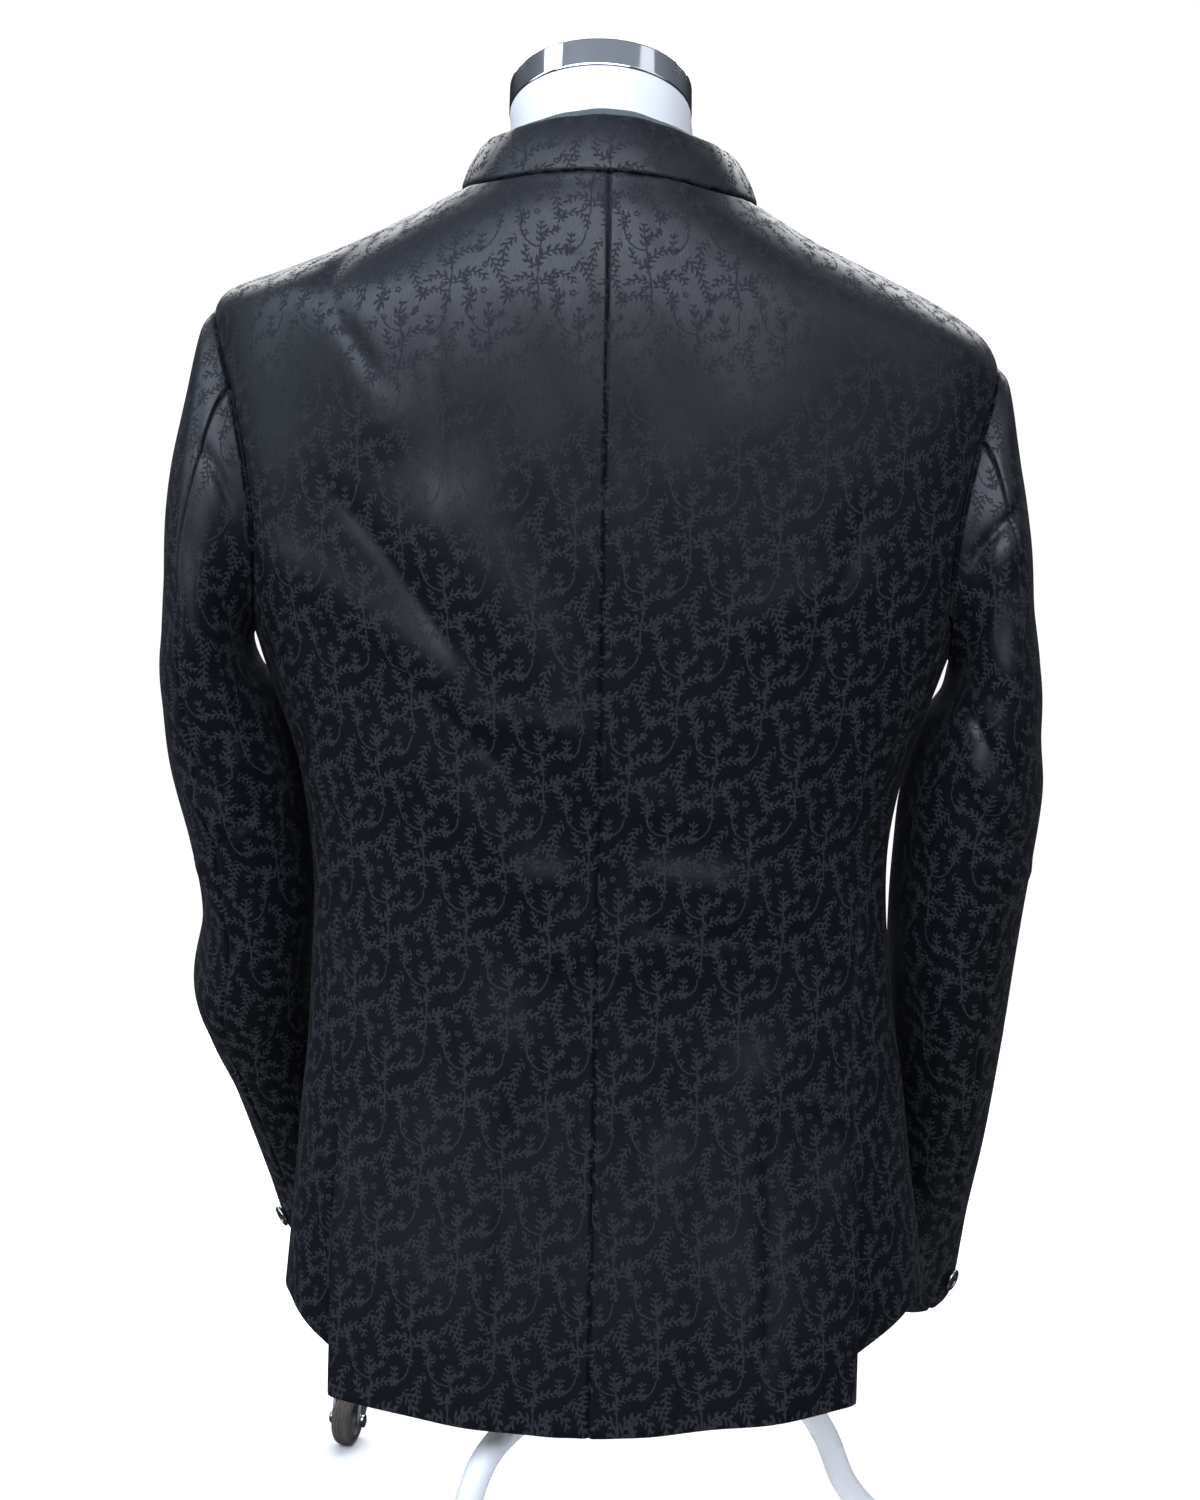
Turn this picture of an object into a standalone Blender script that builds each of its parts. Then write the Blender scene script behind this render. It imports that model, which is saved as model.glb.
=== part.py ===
"""Bandhgala jacket over a stand-collar waistcoat, on a limbless dress form with a low castor stand.

The wearer's front faces -Y, the wearer's left is +X and the castors stand on Z = 0.
Cloth is cut as a tailor cuts it: every panel is a patch of one body surface (or of a sleeve),
given by a level up the body and a turn round it, and has its own wall thickness.
"""
import math
from collections import namedtuple
from math import cos, pi, radians, sin

import bmesh
import bpy
from mathutils import Matrix, Vector

# Cloth, in metres
JACKET_WALL = 0.0020
WAISTCOAT_WALL = 0.0015
SEAM_GAP = 0.0004          # between two pieces along a seam
LAYER_GAP = 0.0004         # between two layers where one carries the other
LOOSE_GAP = 0.0080         # between jacket and waistcoat below the yoke
FORM_SLACK = 0.0100        # more room between waistcoat and form there

# One row for each level of the body, from the hem to the neck seam.
# side_z: height at the side; half_width: at the side; side_y: where the side lies;
# back_y, front_y: centre back and centre front; rise_back, rise_front: height there over the side;
# square: 2 is an ellipse; lean: how much the left side is higher; sway: the sides moved in X;
# seam_back, seam_front: turn of the two side-panel seams, in degrees from centre back.
Level = namedtuple("Level", "side_z half_width side_y back_y front_y rise_back rise_front "
                            "square lean sway seam_back seam_front")
LEVELS = (
    Level(0.258, 0.211, -0.004, 0.100, -0.136, 0.000, -0.004, 2.50, 0.000, -0.009, 65.5, 112.0),
    Level(0.335, 0.203, -0.003, 0.103, -0.134, 0.000, 0.000, 2.45, 0.000, -0.008, 66.5, 111.0),
    Level(0.420, 0.193, -0.002, 0.102, -0.128, 0.000, 0.000, 2.35, 0.000, -0.005, 68.0, 110.0),
    Level(0.510, 0.184, 0.000, 0.099, -0.121, 0.000, 0.000, 2.30, 0.000, -0.002, 71.0, 108.0),
    Level(0.600, 0.189, 0.000, 0.110, -0.129, 0.000, 0.000, 2.30, 0.002, 0.000, 72.0, 107.0),
    Level(0.685, 0.222, 0.000, 0.121, -0.137, 0.000, 0.000, 2.30, 0.006, 0.000, 75.5, 105.0),
    Level(0.755, 0.232, 0.000, 0.126, -0.137, 0.003, -0.010, 2.40, 0.009, 0.000, 78.0, 102.0),
    Level(0.825, 0.241, 0.001, 0.126, -0.131, 0.008, -0.028, 2.20, 0.013, 0.000, 80.0, 100.0),
    Level(0.8780, 0.2470, 0.003, 0.123, -0.120, 0.010, -0.046, 1.90, 0.0145, 0.000, 80.0, 100.0),
    Level(0.8975, 0.2200, 0.006, 0.120, -0.112, 0.009, -0.053, 1.92, 0.0085, 0.000, 80.0, 100.0),
    Level(0.9165, 0.1760, 0.009, 0.116, -0.101, 0.009, -0.058, 1.95, 0.0055, 0.000, 80.0, 100.0),
    Level(0.9380, 0.1290, 0.012, 0.109, -0.086, 0.010, -0.058, 1.98, 0.0050, 0.000, 80.0, 100.0),
    Level(0.9590, 0.0905, 0.016, 0.097, -0.068, 0.011, -0.056, 2.00, 0.0035, 0.000, 80.0, 100.0),
)
NECK_LEVEL = len(LEVELS) - 1
UNDERARM_LEVEL = 5.0
TIP_LEVEL = 8.0            # the level of the shoulder tip
YOKE_LEVELS = (8.45, 8.9, 9.7, 10.5, 11.25, 12.0)
YOKE_START = 9.9           # jacket, waistcoat and form lie layer on layer from here up
BACK_CUT = 14.0            # how far the armhole cuts into the back, degrees
BACK_CUT_LOW = 6.0         # more of it towards the underarm, less towards the tip
FRONT_CUT = 19.0
LOOP_STEP = 22.5           # degrees round an armhole from one point to the next
JOIN_PHI = 135.0           # where the side-back seam meets the armhole
OVERLAP_TURN = 8.0         # each front goes this far past the centre front, degrees
BODY_ROWS = 11             # rows of a panel below the armhole
BACK_COLUMNS = 7
FRONT_COLUMNS = 6

# The side vents let the back flap hang clear of the side panels and a little lower
VENT_LEVEL = 2.2
FLAP_KICK = 0.035
FLAP_DROP_CENTRE = 0.052
FLAP_DROP_CORNER = 0.036
SIDE_HEM_DROP = 0.022      # how much lower the side panel ends at the vent

# The largest folds of the body: from one place to another (turn in degrees, height), then the
# fold's half width and how far it stands out
Fold = namedtuple("Fold", "turn_a z_a turn_b z_b half_width depth")
FOLDS = (
    Fold(38.0, 0.76, 6.0, 0.62, 0.030, 0.0050),
    Fold(48.0, 0.62, 10.0, 0.52, 0.026, 0.0045),
    Fold(-12.0, 0.51, -44.0, 0.53, 0.028, 0.0040),
    Fold(-48.0, 0.42, -50.0, 0.27, 0.030, 0.0060),
    Fold(30.0, 0.44, 38.0, 0.27, 0.034, 0.0040),
    Fold(128.0, 0.68, 160.0, 0.55, 0.028, 0.0050),
    Fold(-126.0, 0.66, -162.0, 0.54, 0.028, 0.0045),
)

# Stand collars: the ring of the top edge
COLLAR_HALF_WIDTH = 0.0755
COLLAR_BACK_Y = 0.078
COLLAR_FRONT_Y = -0.052
COLLAR_HEIGHT_BACK = 0.034
COLLAR_HEIGHT_SIDE = 0.030
COLLAR_HEIGHT_FRONT = 0.036
COLLAR_LEAN = 0.6          # inwards for each metre up
COLLAR_ROWS = 3
WAISTCOAT_COLLAR_INSET = 0.0034
WAISTCOAT_COLLAR_SHOWS = 0.0038

# The waistcoat, wholly under the jacket but for its collar's edge
WAISTCOAT_HEM_LEVEL = 1.6
WAISTCOAT_UNDERARM = 4.6
WAISTCOAT_TIP = 9.7
WAISTCOAT_BACK_CUT = 22.0
WAISTCOAT_FRONT_CUT = 30.0
WAISTCOAT_LOOP_STEP = 22.5
WAISTCOAT_ROWS = 5

# One row for each ring of a sleeve. in_x, in_y, in_z: the inner (underarm) point of the ring;
# fan: the ring's turn from upright (0) to level (90); reach: from there to the outer point;
# half_depth: front to back; pitch: how far the ring tips forward, degrees.
Ring = namedtuple("Ring", "in_x in_y in_z fan reach half_depth pitch")
LEFT_SLEEVE = (
    Ring(0.2220, 0.000, 0.691, 7.0, 0.202, 0.068, 0.0),
    Ring(0.2230, 0.000, 0.684, 14.0, 0.158, 0.070, 0.0),
    Ring(0.2235, 0.000, 0.677, 27.0, 0.110, 0.072, 0.0),
    Ring(0.2220, 0.000, 0.669, 43.0, 0.080, 0.073, 0.0),
    Ring(0.2170, -0.003, 0.660, 64.0, 0.069, 0.073, 0.0),
    Ring(0.2080, -0.010, 0.646, 90.0, 0.073, 0.073, 2.0),
    Ring(0.1920, -0.026, 0.600, 90.0, 0.087, 0.071, 8.0),
    Ring(0.1860, -0.040, 0.550, 90.0, 0.0835, 0.068, 12.0),
    Ring(0.1850, -0.052, 0.500, 90.0, 0.078, 0.065, 16.0),
    Ring(0.1870, -0.072, 0.440, 90.0, 0.086, 0.062, 23.0),
    Ring(0.1790, -0.104, 0.375, 90.0, 0.073, 0.058, 29.0),
    Ring(0.1640, -0.144, 0.305, 90.0, 0.073, 0.054, 31.0),
    Ring(0.1580, -0.174, 0.255, 90.0, 0.070, 0.052, 31.0),
)
RIGHT_SLEEVE = (
    Ring(0.2220, 0.000, 0.679, 7.0, 0.187, 0.068, 0.0),
    Ring(0.2230, 0.000, 0.673, 13.0, 0.149, 0.070, 0.0),
    Ring(0.2235, 0.000, 0.667, 24.0, 0.106, 0.072, 0.0),
    Ring(0.2220, 0.000, 0.660, 41.0, 0.076, 0.073, 0.0),
    Ring(0.2180, 0.000, 0.651, 64.0, 0.066, 0.073, 0.0),
    Ring(0.2090, -0.002, 0.636, 90.0, 0.072, 0.073, 2.0),
    Ring(0.1970, -0.008, 0.594, 90.0, 0.088, 0.071, 5.0),
    Ring(0.1930, -0.018, 0.545, 90.0, 0.089, 0.068, 9.0),
    Ring(0.1930, -0.032, 0.490, 90.0, 0.084, 0.065, 14.0),
    Ring(0.1970, -0.054, 0.425, 90.0, 0.078, 0.062, 19.0),
    Ring(0.1960, -0.080, 0.355, 90.0, 0.075, 0.058, 20.0),
    Ring(0.1930, -0.104, 0.285, 90.0, 0.071, 0.055, 18.0),
    Ring(0.1900, -0.122, 0.225, 90.0, 0.069, 0.053, 18.0),
)
SLEEVE_START = 0.0006      # the sleeve begins this far outside the armhole
SEAM_PHI = 67.5            # the two sleeve seams, degrees from the sleeve's outer line
HEAD_BLEND = 1.6           # rings over which the armhole's own line turns into the sleeve's
HEAD_ROLL = 0.0045         # the sleeve head stands out this much past the seam
ROLL_RING = 0.4            # place of the extra row that carries the roll

# Buttons
FRONT_BUTTON_RADIUS = 0.0090
CUFF_BUTTON_RADIUS = 0.0078
WAISTCOAT_BUTTON_RADIUS = 0.0060
FRONT_BUTTON_ROWS = (4, 6, 8, 10, 13, 17)
WAISTCOAT_BUTTON_ROWS = (1, 2, 3, 4, 6)
CUFF_BUTTON_RING = 11.7
SHANK_RADIUS = 0.0020
SHANK_HEIGHT = 0.0010
BUTTON_STEPS = 12

# Dress form, cap and stand
FORM_BOTTOM_Z = 0.262
NECK_RADIUS = 0.0555
NECK_SHIFT_X = 0.0065
NECK_CENTRE_Y = 0.010
NECK_TOP_Z = 1.008
NECK_TILT = 27.0           # the neck's cut leans forward, degrees
CAP_RADIUS = 0.0560
CAP_HEIGHT = 0.019
POLE_RADIUS = 0.0125
FLANGE_RADIUS = 0.055
HUB_TOP_Z = 0.215
HUB_BOTTOM_Z = 0.168
HUB_RADIUS = 0.030
LEG_COUNT = 3
LEG_TURN = -58.9
LEG_REACH = 0.3663
LEG_RADIUS = 0.0085
# The leg's centre line: distance from the pole and height
Place = namedtuple("Place", "reach z")
LEG_LINE = ((0.0400, 0.1925), (0.0900, 0.1925), (0.1330, 0.1830), (0.1580, 0.1520),
            (0.1760, 0.1120), (0.2050, 0.0880), (0.2700, 0.0800), (0.3420, 0.0790))
SOCKET_RADIUS = 0.0120
SOCKET_BOTTOM_Z = 0.0505
SOCKET_TOP_Z = 0.0980
STEM_RADIUS = 0.0040
STEM_TOP_Z = 0.0800
RUNNING_GAP = 0.0003
WHEEL_RADIUS = 0.0200
TYRE_WIDTH = 0.0160
RIM_RADIUS = 0.0135
AXLE_RADIUS = 0.0030
CASTOR_TRAIL = 0.0140
FORK_INNER = 0.0098        # from the wheel's middle plane to a fork plate
FORK_PLATE = 0.0022
CROWN_BOTTOM_Z = 0.0436
CROWN_TOP_Z = 0.0462
CASTOR_TURNS = (75.0, 200.0, -35.0)   # which way each wheel trails

COLOURS = {
    "jacket_cloth": ((0.020, 0.023, 0.032), 0.55, 0.0),
    "waistcoat_cloth": ((0.035, 0.045, 0.045), 0.75, 0.0),
    "button": ((0.015, 0.015, 0.018), 0.25, 0.0),
    "form_white": ((0.85, 0.85, 0.84), 0.35, 0.0),
    "chrome": ((0.80, 0.81, 0.83), 0.08, 1.0),
    "stand_white": ((0.82, 0.82, 0.81), 0.40, 0.0),
    "socket_tan": ((0.45, 0.31, 0.20), 0.50, 0.0),
    "fork_steel": ((0.42, 0.44, 0.43), 0.40, 0.9),
    "tyre_rubber": ((0.060, 0.058, 0.058), 0.75, 0.0),
    "rim_grey": ((0.090, 0.095, 0.100), 0.50, 0.0),
    "axle_zinc": ((0.75, 0.76, 0.78), 0.20, 1.0),
}


# ---------------------------------------------------------------- small helpers

def clear_scene():
    for obj in list(bpy.data.objects):
        bpy.data.objects.remove(obj, do_unlink=True)


def make_materials():
    materials = {}
    for name, (colour, roughness, metallic) in COLOURS.items():
        material = bpy.data.materials.new(name)
        material.use_nodes = True
        shader = material.node_tree.nodes["Principled BSDF"]
        shader.inputs["Base Color"].default_value = (*colour, 1.0)
        shader.inputs["Roughness"].default_value = roughness
        shader.inputs["Metallic"].default_value = metallic
        materials[name] = material
    return materials


def add_object(name, mesh, material, parent=None):
    obj = bpy.data.objects.new(name, mesh)
    PARTS.objects.link(obj)
    obj.data.materials.append(MATERIALS[material])
    if parent is not None:
        obj.parent = parent
    return obj


def smooth_step(value):
    t = min(max(value, 0.0), 1.0)
    return t * t * (3.0 - 2.0 * t)


def read_table(rows, place):
    """The row between two table rows, on a smooth curve through all of them."""
    last = len(rows) - 1
    place = min(max(place, 0.0), float(last))
    low = min(int(place), last - 1)
    t = place - low
    before, start = rows[max(low - 1, 0)], rows[low]
    end, after = rows[low + 1], rows[min(low + 2, last)]
    values = []
    for a, b, c, d in zip(before, start, end, after):
        slope_b, slope_c = (c - a) / 2.0, (d - b) / 2.0
        values.append((2 * t**3 - 3 * t**2 + 1) * b + (t**3 - 2 * t**2 + t) * slope_b
                      + (3 * t**2 - 2 * t**3) * c + (t**3 - t**2) * slope_c)
    return type(start)(*values)


# ---------------------------------------------------------------- the body surface

def body_point(level, turn):
    """A point of the jacket's outer surface; turn 0 is centre back, 90 the wearer's left."""
    row = read_table(LEVELS, level)
    s, c = sin(radians(turn)), cos(radians(turn))
    depth = row.back_y - row.side_y if c >= 0.0 else row.side_y - row.front_y
    rise = row.rise_back if c >= 0.0 else row.rise_front
    reach = ((abs(s) / row.half_width) ** row.square + (abs(c) / depth) ** row.square)
    reach **= -1.0 / row.square
    x = reach * s
    return Vector((x + row.sway * s ** 16, row.side_y + reach * c,
                   row.side_z + rise * c * c + row.lean * x / row.half_width))


def surface_normal(point_at, u, v, du, dv, u_max):
    """Outward normal of a surface from four points near (u, v)."""
    along = point_at(min(u + du, u_max), v) - point_at(u - du, v)
    around = point_at(u, v + dv) - point_at(u, v - dv)
    return around.cross(along).normalized()


def body_normal(level, turn):
    return surface_normal(body_point, max(level, 0.05), turn, 0.05, -1.0, NECK_LEVEL)


def fold_height(turn, z):
    """How far the cloth stands out at a place, over all folds."""
    metres_per_degree = 0.0033
    turn = (turn + 180.0) % 360.0 - 180.0
    height = 0.0
    for fold in FOLDS:
        ax, ay = fold.turn_a * metres_per_degree, fold.z_a
        bx, by = fold.turn_b * metres_per_degree, fold.z_b
        px, py = turn * metres_per_degree, z
        length2 = (bx - ax) ** 2 + (by - ay) ** 2
        t = min(max(((px - ax) * (bx - ax) + (py - ay) * (by - ay)) / length2, 0.0), 1.0)
        gap = math.hypot(px - ax - t * (bx - ax), py - ay - t * (by - ay))
        height += fold.depth * math.exp(-(gap / fold.half_width) ** 2)
    return height


def jacket_skin(level, turn, out=0.0):
    """A point of the jacket and the normal there, folds included, moved out."""
    base = body_point(level, turn)
    normal = body_normal(level, turn)
    return base + normal * (out + fold_height(turn, base.z)), normal


def under_skin(level, turn, out):
    """A point of what lies under the jacket: the same surface with no folds, moved in."""
    normal = body_normal(level, turn)
    return body_point(level, turn) + normal * out, normal


def armhole_level(phi, low=UNDERARM_LEVEL, high=TIP_LEVEL):
    """Level of an armhole's point; phi 0 is the shoulder tip, 90 the back, 180 the underarm."""
    return low + (high - low) * (1.0 + cos(radians(phi))) / 2.0


def armhole_turn(phi, back_cut=BACK_CUT, front_cut=FRONT_CUT):
    s = sin(radians(phi))
    if s < 0.0:
        return 90.0 - front_cut * s
    return 90.0 - (back_cut - BACK_CUT_LOW * cos(radians(phi))) * s


def seam_turn(level, column):
    """Turn of the side-back or side-front seam at a level, ending on the armhole."""
    top = armhole_level(JOIN_PHI)
    phi = JOIN_PHI if column == "seam_back" else 360.0 - JOIN_PHI
    miss = armhole_turn(phi) - getattr(read_table(LEVELS, top), column)
    return getattr(read_table(LEVELS, level), column) + miss * smooth_step(level - top + 1.0)


def body_panel_rows(rows=BODY_ROWS, start=0.0, low=UNDERARM_LEVEL, high=TIP_LEVEL,
                    join=JOIN_PHI, step=LOOP_STEP, yoke=YOKE_LEVELS):
    """Rows of a back or front panel as (level, phi of the armhole or None)."""
    top = armhole_level(join, low, high)
    result = [(start + (top - start) * i / rows, None) for i in range(rows)]
    result += [(armhole_level(join - step * i, low, high), join - step * i)
               for i in range(int(join / step) + 1)]
    return result + [(level, None) for level in yoke]


# ---------------------------------------------------------------- cloth walls

def quad(verts, r, c, mirrored):
    """The corners of one cell; mirrored cells are split along their other diagonal."""
    corners = [verts[r][c], verts[r][c + 1], verts[r + 1][c + 1], verts[r + 1][c]]
    return corners[1:] + corners[:1] if mirrored else corners


def cloth_wall(name, rows, wall, material, mirrored=()):
    """A panel from rows of (point, normal): its outer face, its inner face and its rim.

    `mirrored` names the columns split as on the other side of the body, so that the facets of
    two layers match.
    """
    outer = [[point.copy() for point, _ in row] for row in rows]
    inner = [[point - normal * wall for point, normal in row] for row in rows]
    for grid in (outer, inner):
        pull_in_rim(grid, SEAM_GAP / 2.0)
    height, width = len(rows), len(rows[0])
    bm = bmesh.new()
    out_verts = [[bm.verts.new(point) for point in row] for row in outer]
    in_verts = [[bm.verts.new(point) for point in row] for row in inner]
    for r in range(height - 1):
        for c in range(width - 1):
            bm.faces.new(quad(out_verts, r, c, c in mirrored))
            bm.faces.new(quad(in_verts, r, c, c in mirrored)).normal_flip()
    rim = ([(0, c) for c in range(width)] + [(r, width - 1) for r in range(1, height)]
           + [(height - 1, c) for c in range(width - 2, -1, -1)]
           + [(r, 0) for r in range(height - 2, 0, -1)])
    for (r1, c1), (r2, c2) in zip(rim, rim[1:] + rim[:1]):
        bm.faces.new((out_verts[r2][c2], out_verts[r1][c1], in_verts[r1][c1], in_verts[r2][c2]))
    bmesh.ops.recalc_face_normals(bm, faces=bm.faces)
    mesh = bpy.data.meshes.new(name)
    bm.to_mesh(mesh)
    bm.free()
    mesh.shade_smooth()
    mesh.set_sharp_from_angle(angle=radians(40.0))
    return add_object(name, mesh, material)


def pull_in_rim(grid, gap):
    """Move the rim of a grid of points inwards, so that neighbours keep a gap."""
    for row in grid:
        row[0] += (row[1] - row[0]).normalized() * gap
        row[-1] += (row[-2] - row[-1]).normalized() * gap
    for c in range(len(grid[0])):
        grid[0][c] += (grid[1][c] - grid[0][c]).normalized() * gap
        grid[-1][c] += (grid[-2][c] - grid[-1][c]).normalized() * gap


# ---------------------------------------------------------------- jacket body

def back_edge_turn(level, phi):
    if phi is not None:
        return armhole_turn(phi)
    return seam_turn(level, "seam_back") if level < TIP_LEVEL else 90.0


def front_edge_turn(level, phi):
    if phi is not None:
        return armhole_turn(360.0 - phi)
    return seam_turn(level, "seam_front") if level < TIP_LEVEL else 90.0


def flap_place(point, level, turn):
    """Below the vents the back hangs away from the body and lower."""
    t = max(1.0 - level / VENT_LEVEL, 0.0)
    centre = cos(radians(turn)) ** 2
    drop = FLAP_DROP_CORNER + (FLAP_DROP_CENTRE - FLAP_DROP_CORNER) * centre
    return point + Vector((0.0, FLAP_KICK * smooth_step(t) * (0.4 + 0.6 * t), -drop * t * t))


def make_back(side, name):
    rows = []
    for level, phi in body_panel_rows():
        edge = back_edge_turn(level, phi)
        row = []
        for c in range(BACK_COLUMNS + 1):
            turn = side * edge * c / BACK_COLUMNS
            point, normal = jacket_skin(level, turn)
            row.append((flap_place(point, level, turn), normal))
        rows.append(row)
    return cloth_wall(name, rows, JACKET_WALL, "jacket_cloth")


def make_side(side, name):
    """The side panel between the two seams, up to the underarm part of the armhole."""
    columns = int((360.0 - 2.0 * JOIN_PHI) / LOOP_STEP)
    rows = []
    for r in range(BODY_ROWS + 1):
        row = []
        for c in range(columns + 1):
            phi = JOIN_PHI + LOOP_STEP * c
            top = armhole_level(phi)
            level = top * r / BODY_ROWS
            w = c / columns
            low = seam_turn(level, "seam_back") * (1.0 - w) + seam_turn(level, "seam_front") * w
            end = seam_turn(top, "seam_back") * (1.0 - w) + seam_turn(top, "seam_front") * w
            turn = low + (armhole_turn(phi) - end) * (r / BODY_ROWS) ** 3
            point, normal = jacket_skin(level, side * turn)
            point.z -= SIDE_HEM_DROP * max(1.0 - 3.5 * w, 0.0) * max(1.0 - level, 0.0) ** 2
            row.append((point, normal))
        rows.append(row)
    return cloth_wall(name, rows, JACKET_WALL, "jacket_cloth")


def front_turns(edge):
    """Turns across a front, from its side seam to the far edge of the overlap."""
    start = 180.0 - OVERLAP_TURN
    turns = [edge + (start - edge) * c / FRONT_COLUMNS for c in range(FRONT_COLUMNS + 1)]
    return turns + [180.0, 180.0 + OVERLAP_TURN]


def overlap_share(turn):
    """0 away from the centre front, 1 in the overlap."""
    return smooth_step((turn - 160.0) / (20.0 - OVERLAP_TURN))


def overlap_columns(side):
    """The right front's columns under the left one are split the same way as the left one's."""
    return () if side > 0 else (FRONT_COLUMNS, FRONT_COLUMNS + 1)


def make_front(side, name):
    """The wearer's left front lies over the right one at the centre."""
    lift = JACKET_WALL + LAYER_GAP if side > 0 else 0.0
    rows = []
    for level, phi in body_panel_rows():
        row = []
        for turn in front_turns(front_edge_turn(level, phi)):
            share = overlap_share(turn)
            dip = 0.15 * share * (level / NECK_LEVEL) ** 12
            row.append(jacket_skin(level - dip, side * turn, lift * share))
        rows.append(row)
    return cloth_wall(name, rows, JACKET_WALL, "jacket_cloth", overlap_columns(side)), rows


# ---------------------------------------------------------------- waistcoat body

def under_gap(level, turn):
    """Room between jacket and waistcoat: none on the yoke's back, more below and in front."""
    low = smooth_step((YOKE_START - level) / 0.8)
    front = smooth_step((abs(turn) - 90.0) / 27.0)
    neck = 0.001 * smooth_step(level - NECK_LEVEL + 1.0)
    return max(LOOSE_GAP * low, 0.005 * front, neck)


def waistcoat_skin(level, turn, out=0.0):
    return under_skin(level, turn, out - JACKET_WALL - LAYER_GAP - under_gap(level, turn))


def waistcoat_rows():
    return body_panel_rows(WAISTCOAT_ROWS, WAISTCOAT_HEM_LEVEL, WAISTCOAT_UNDERARM,
                           WAISTCOAT_TIP, 180.0, WAISTCOAT_LOOP_STEP, YOKE_LEVELS[3:])


def make_waistcoat_back():
    rows = []
    for level, phi in waistcoat_rows():
        edge = 90.0 if phi is None else armhole_turn(phi, WAISTCOAT_BACK_CUT)
        row = []
        for c in range(-BACK_COLUMNS, BACK_COLUMNS + 1):
            row.append(waistcoat_skin(level, edge * c / BACK_COLUMNS))
        rows.append(row)
    return cloth_wall("waistcoat_back", rows, WAISTCOAT_WALL, "waistcoat_cloth", range(BACK_COLUMNS))


def make_waistcoat_front(side, name):
    lift = WAISTCOAT_WALL + LAYER_GAP if side > 0 else 0.0
    rows = []
    for level, phi in waistcoat_rows():
        edge = 90.0
        if phi is not None:
            edge = armhole_turn(360.0 - phi, WAISTCOAT_BACK_CUT, WAISTCOAT_FRONT_CUT)
        row = []
        for turn in front_turns(edge):
            share = overlap_share(turn)
            dip = 0.15 * share * (level / NECK_LEVEL) ** 12
            row.append(waistcoat_skin(level - dip, side * turn, lift * share))
        rows.append(row)
    return cloth_wall(name, rows, WAISTCOAT_WALL, "waistcoat_cloth", overlap_columns(side)), rows


# ---------------------------------------------------------------- collars

def ring_turns():
    """Turns once round the neck, at the columns of the panels' top edges."""
    half = [90.0 * c / BACK_COLUMNS for c in range(BACK_COLUMNS + 1)]
    half += front_turns(90.0)[1:-1]
    return [-turn for turn in reversed(half[1:])] + half


def collar_top(turn, inset, shows):
    """A point of a collar's top edge."""
    s, c = sin(radians(turn)), cos(radians(turn))
    middle = (COLLAR_BACK_Y + COLLAR_FRONT_Y) / 2.0
    depth = (COLLAR_BACK_Y - COLLAR_FRONT_Y) / 2.0
    shows *= max(c, 0.0) ** 2
    inset += shows * COLLAR_LEAN
    reach = math.hypot(s / (COLLAR_HALF_WIDTH - inset), c / (depth - inset)) ** -1.0
    centre_height = COLLAR_HEIGHT_BACK if c > 0.0 else COLLAR_HEIGHT_FRONT
    height = COLLAR_HEIGHT_SIDE + (centre_height - COLLAR_HEIGHT_SIDE) * c * c
    height -= 0.008 * smooth_step((abs(turn) - 160.0) / 20.0)
    z = body_point(NECK_LEVEL, turn).z + height + shows
    return Vector((reach * s, middle + reach * c, z))


def collar_point(turn, t, waistcoat):
    inset = WAISTCOAT_COLLAR_INSET if waistcoat else 0.0
    shows = WAISTCOAT_COLLAR_SHOWS if waistcoat else 0.0
    if waistcoat:
        foot, _ = waistcoat_skin(NECK_LEVEL, turn)
        foot -= Vector((foot.x, foot.y - 0.015, 0.0)).normalized() * 0.0014
    else:
        foot = body_point(NECK_LEVEL, turn)
    foot.z += SEAM_GAP
    bulge = Vector((foot.x, foot.y - 0.015, 0.0)).normalized() * 0.0025 * t * (1.0 - t) * 4.0
    return foot.lerp(collar_top(turn, inset, shows), t) + bulge


def make_collar(name, wall, material, waistcoat):
    rows = []
    for r in range(COLLAR_ROWS + 1):
        row = []
        for turn in ring_turns():
            def point_at(t, angle):
                return collar_point(angle, t, waistcoat)
            normal = surface_normal(point_at, r / COLLAR_ROWS, turn, 0.05, -1.0, 1.0)
            row.append((collar_point(turn, r / COLLAR_ROWS, waistcoat), normal))
        rows.append(row)
    return cloth_wall(name, rows, wall, material, range(len(ring_turns()) // 2))


# ---------------------------------------------------------------- sleeves

def ring_point(side, place, phi):
    """A point of a sleeve's rings; phi 0 is the outer line, 90 the back, 180 the underarm."""
    row = read_table(LEFT_SLEEVE if side > 0 else RIGHT_SLEEVE, place)
    fan, pitch, angle = radians(row.fan), radians(row.pitch), radians(phi)
    outward = row.reach / 2.0 * (1.0 + cos(angle))
    back = row.half_depth * sin(angle)
    return Vector((side * (row.in_x + outward * sin(fan)), row.in_y + back * cos(pitch),
                   row.in_z + outward * cos(fan) - back * sin(pitch)))


def armhole_point(side, phi):
    phi %= 360.0
    return body_point(armhole_level(phi), side * armhole_turn(phi))


def sleeve_point(side, place, phi):
    share = max(1.0 - place / HEAD_BLEND, 0.0) ** 2
    point = ring_point(side, place, phi)
    if share > 0.0:
        start = armhole_point(side, phi) + Vector((side * SLEEVE_START, 0.0, 0.0))
        point += (start - ring_point(side, 0.0, phi)) * share
    roll = HEAD_ROLL * smooth_step(place / ROLL_RING) * smooth_step(1.0 - (place - ROLL_RING))
    roll *= max(cos(radians(phi)), 0.0)
    return point + Vector((side * roll * 0.7, 0.0, roll * 0.7))


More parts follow.
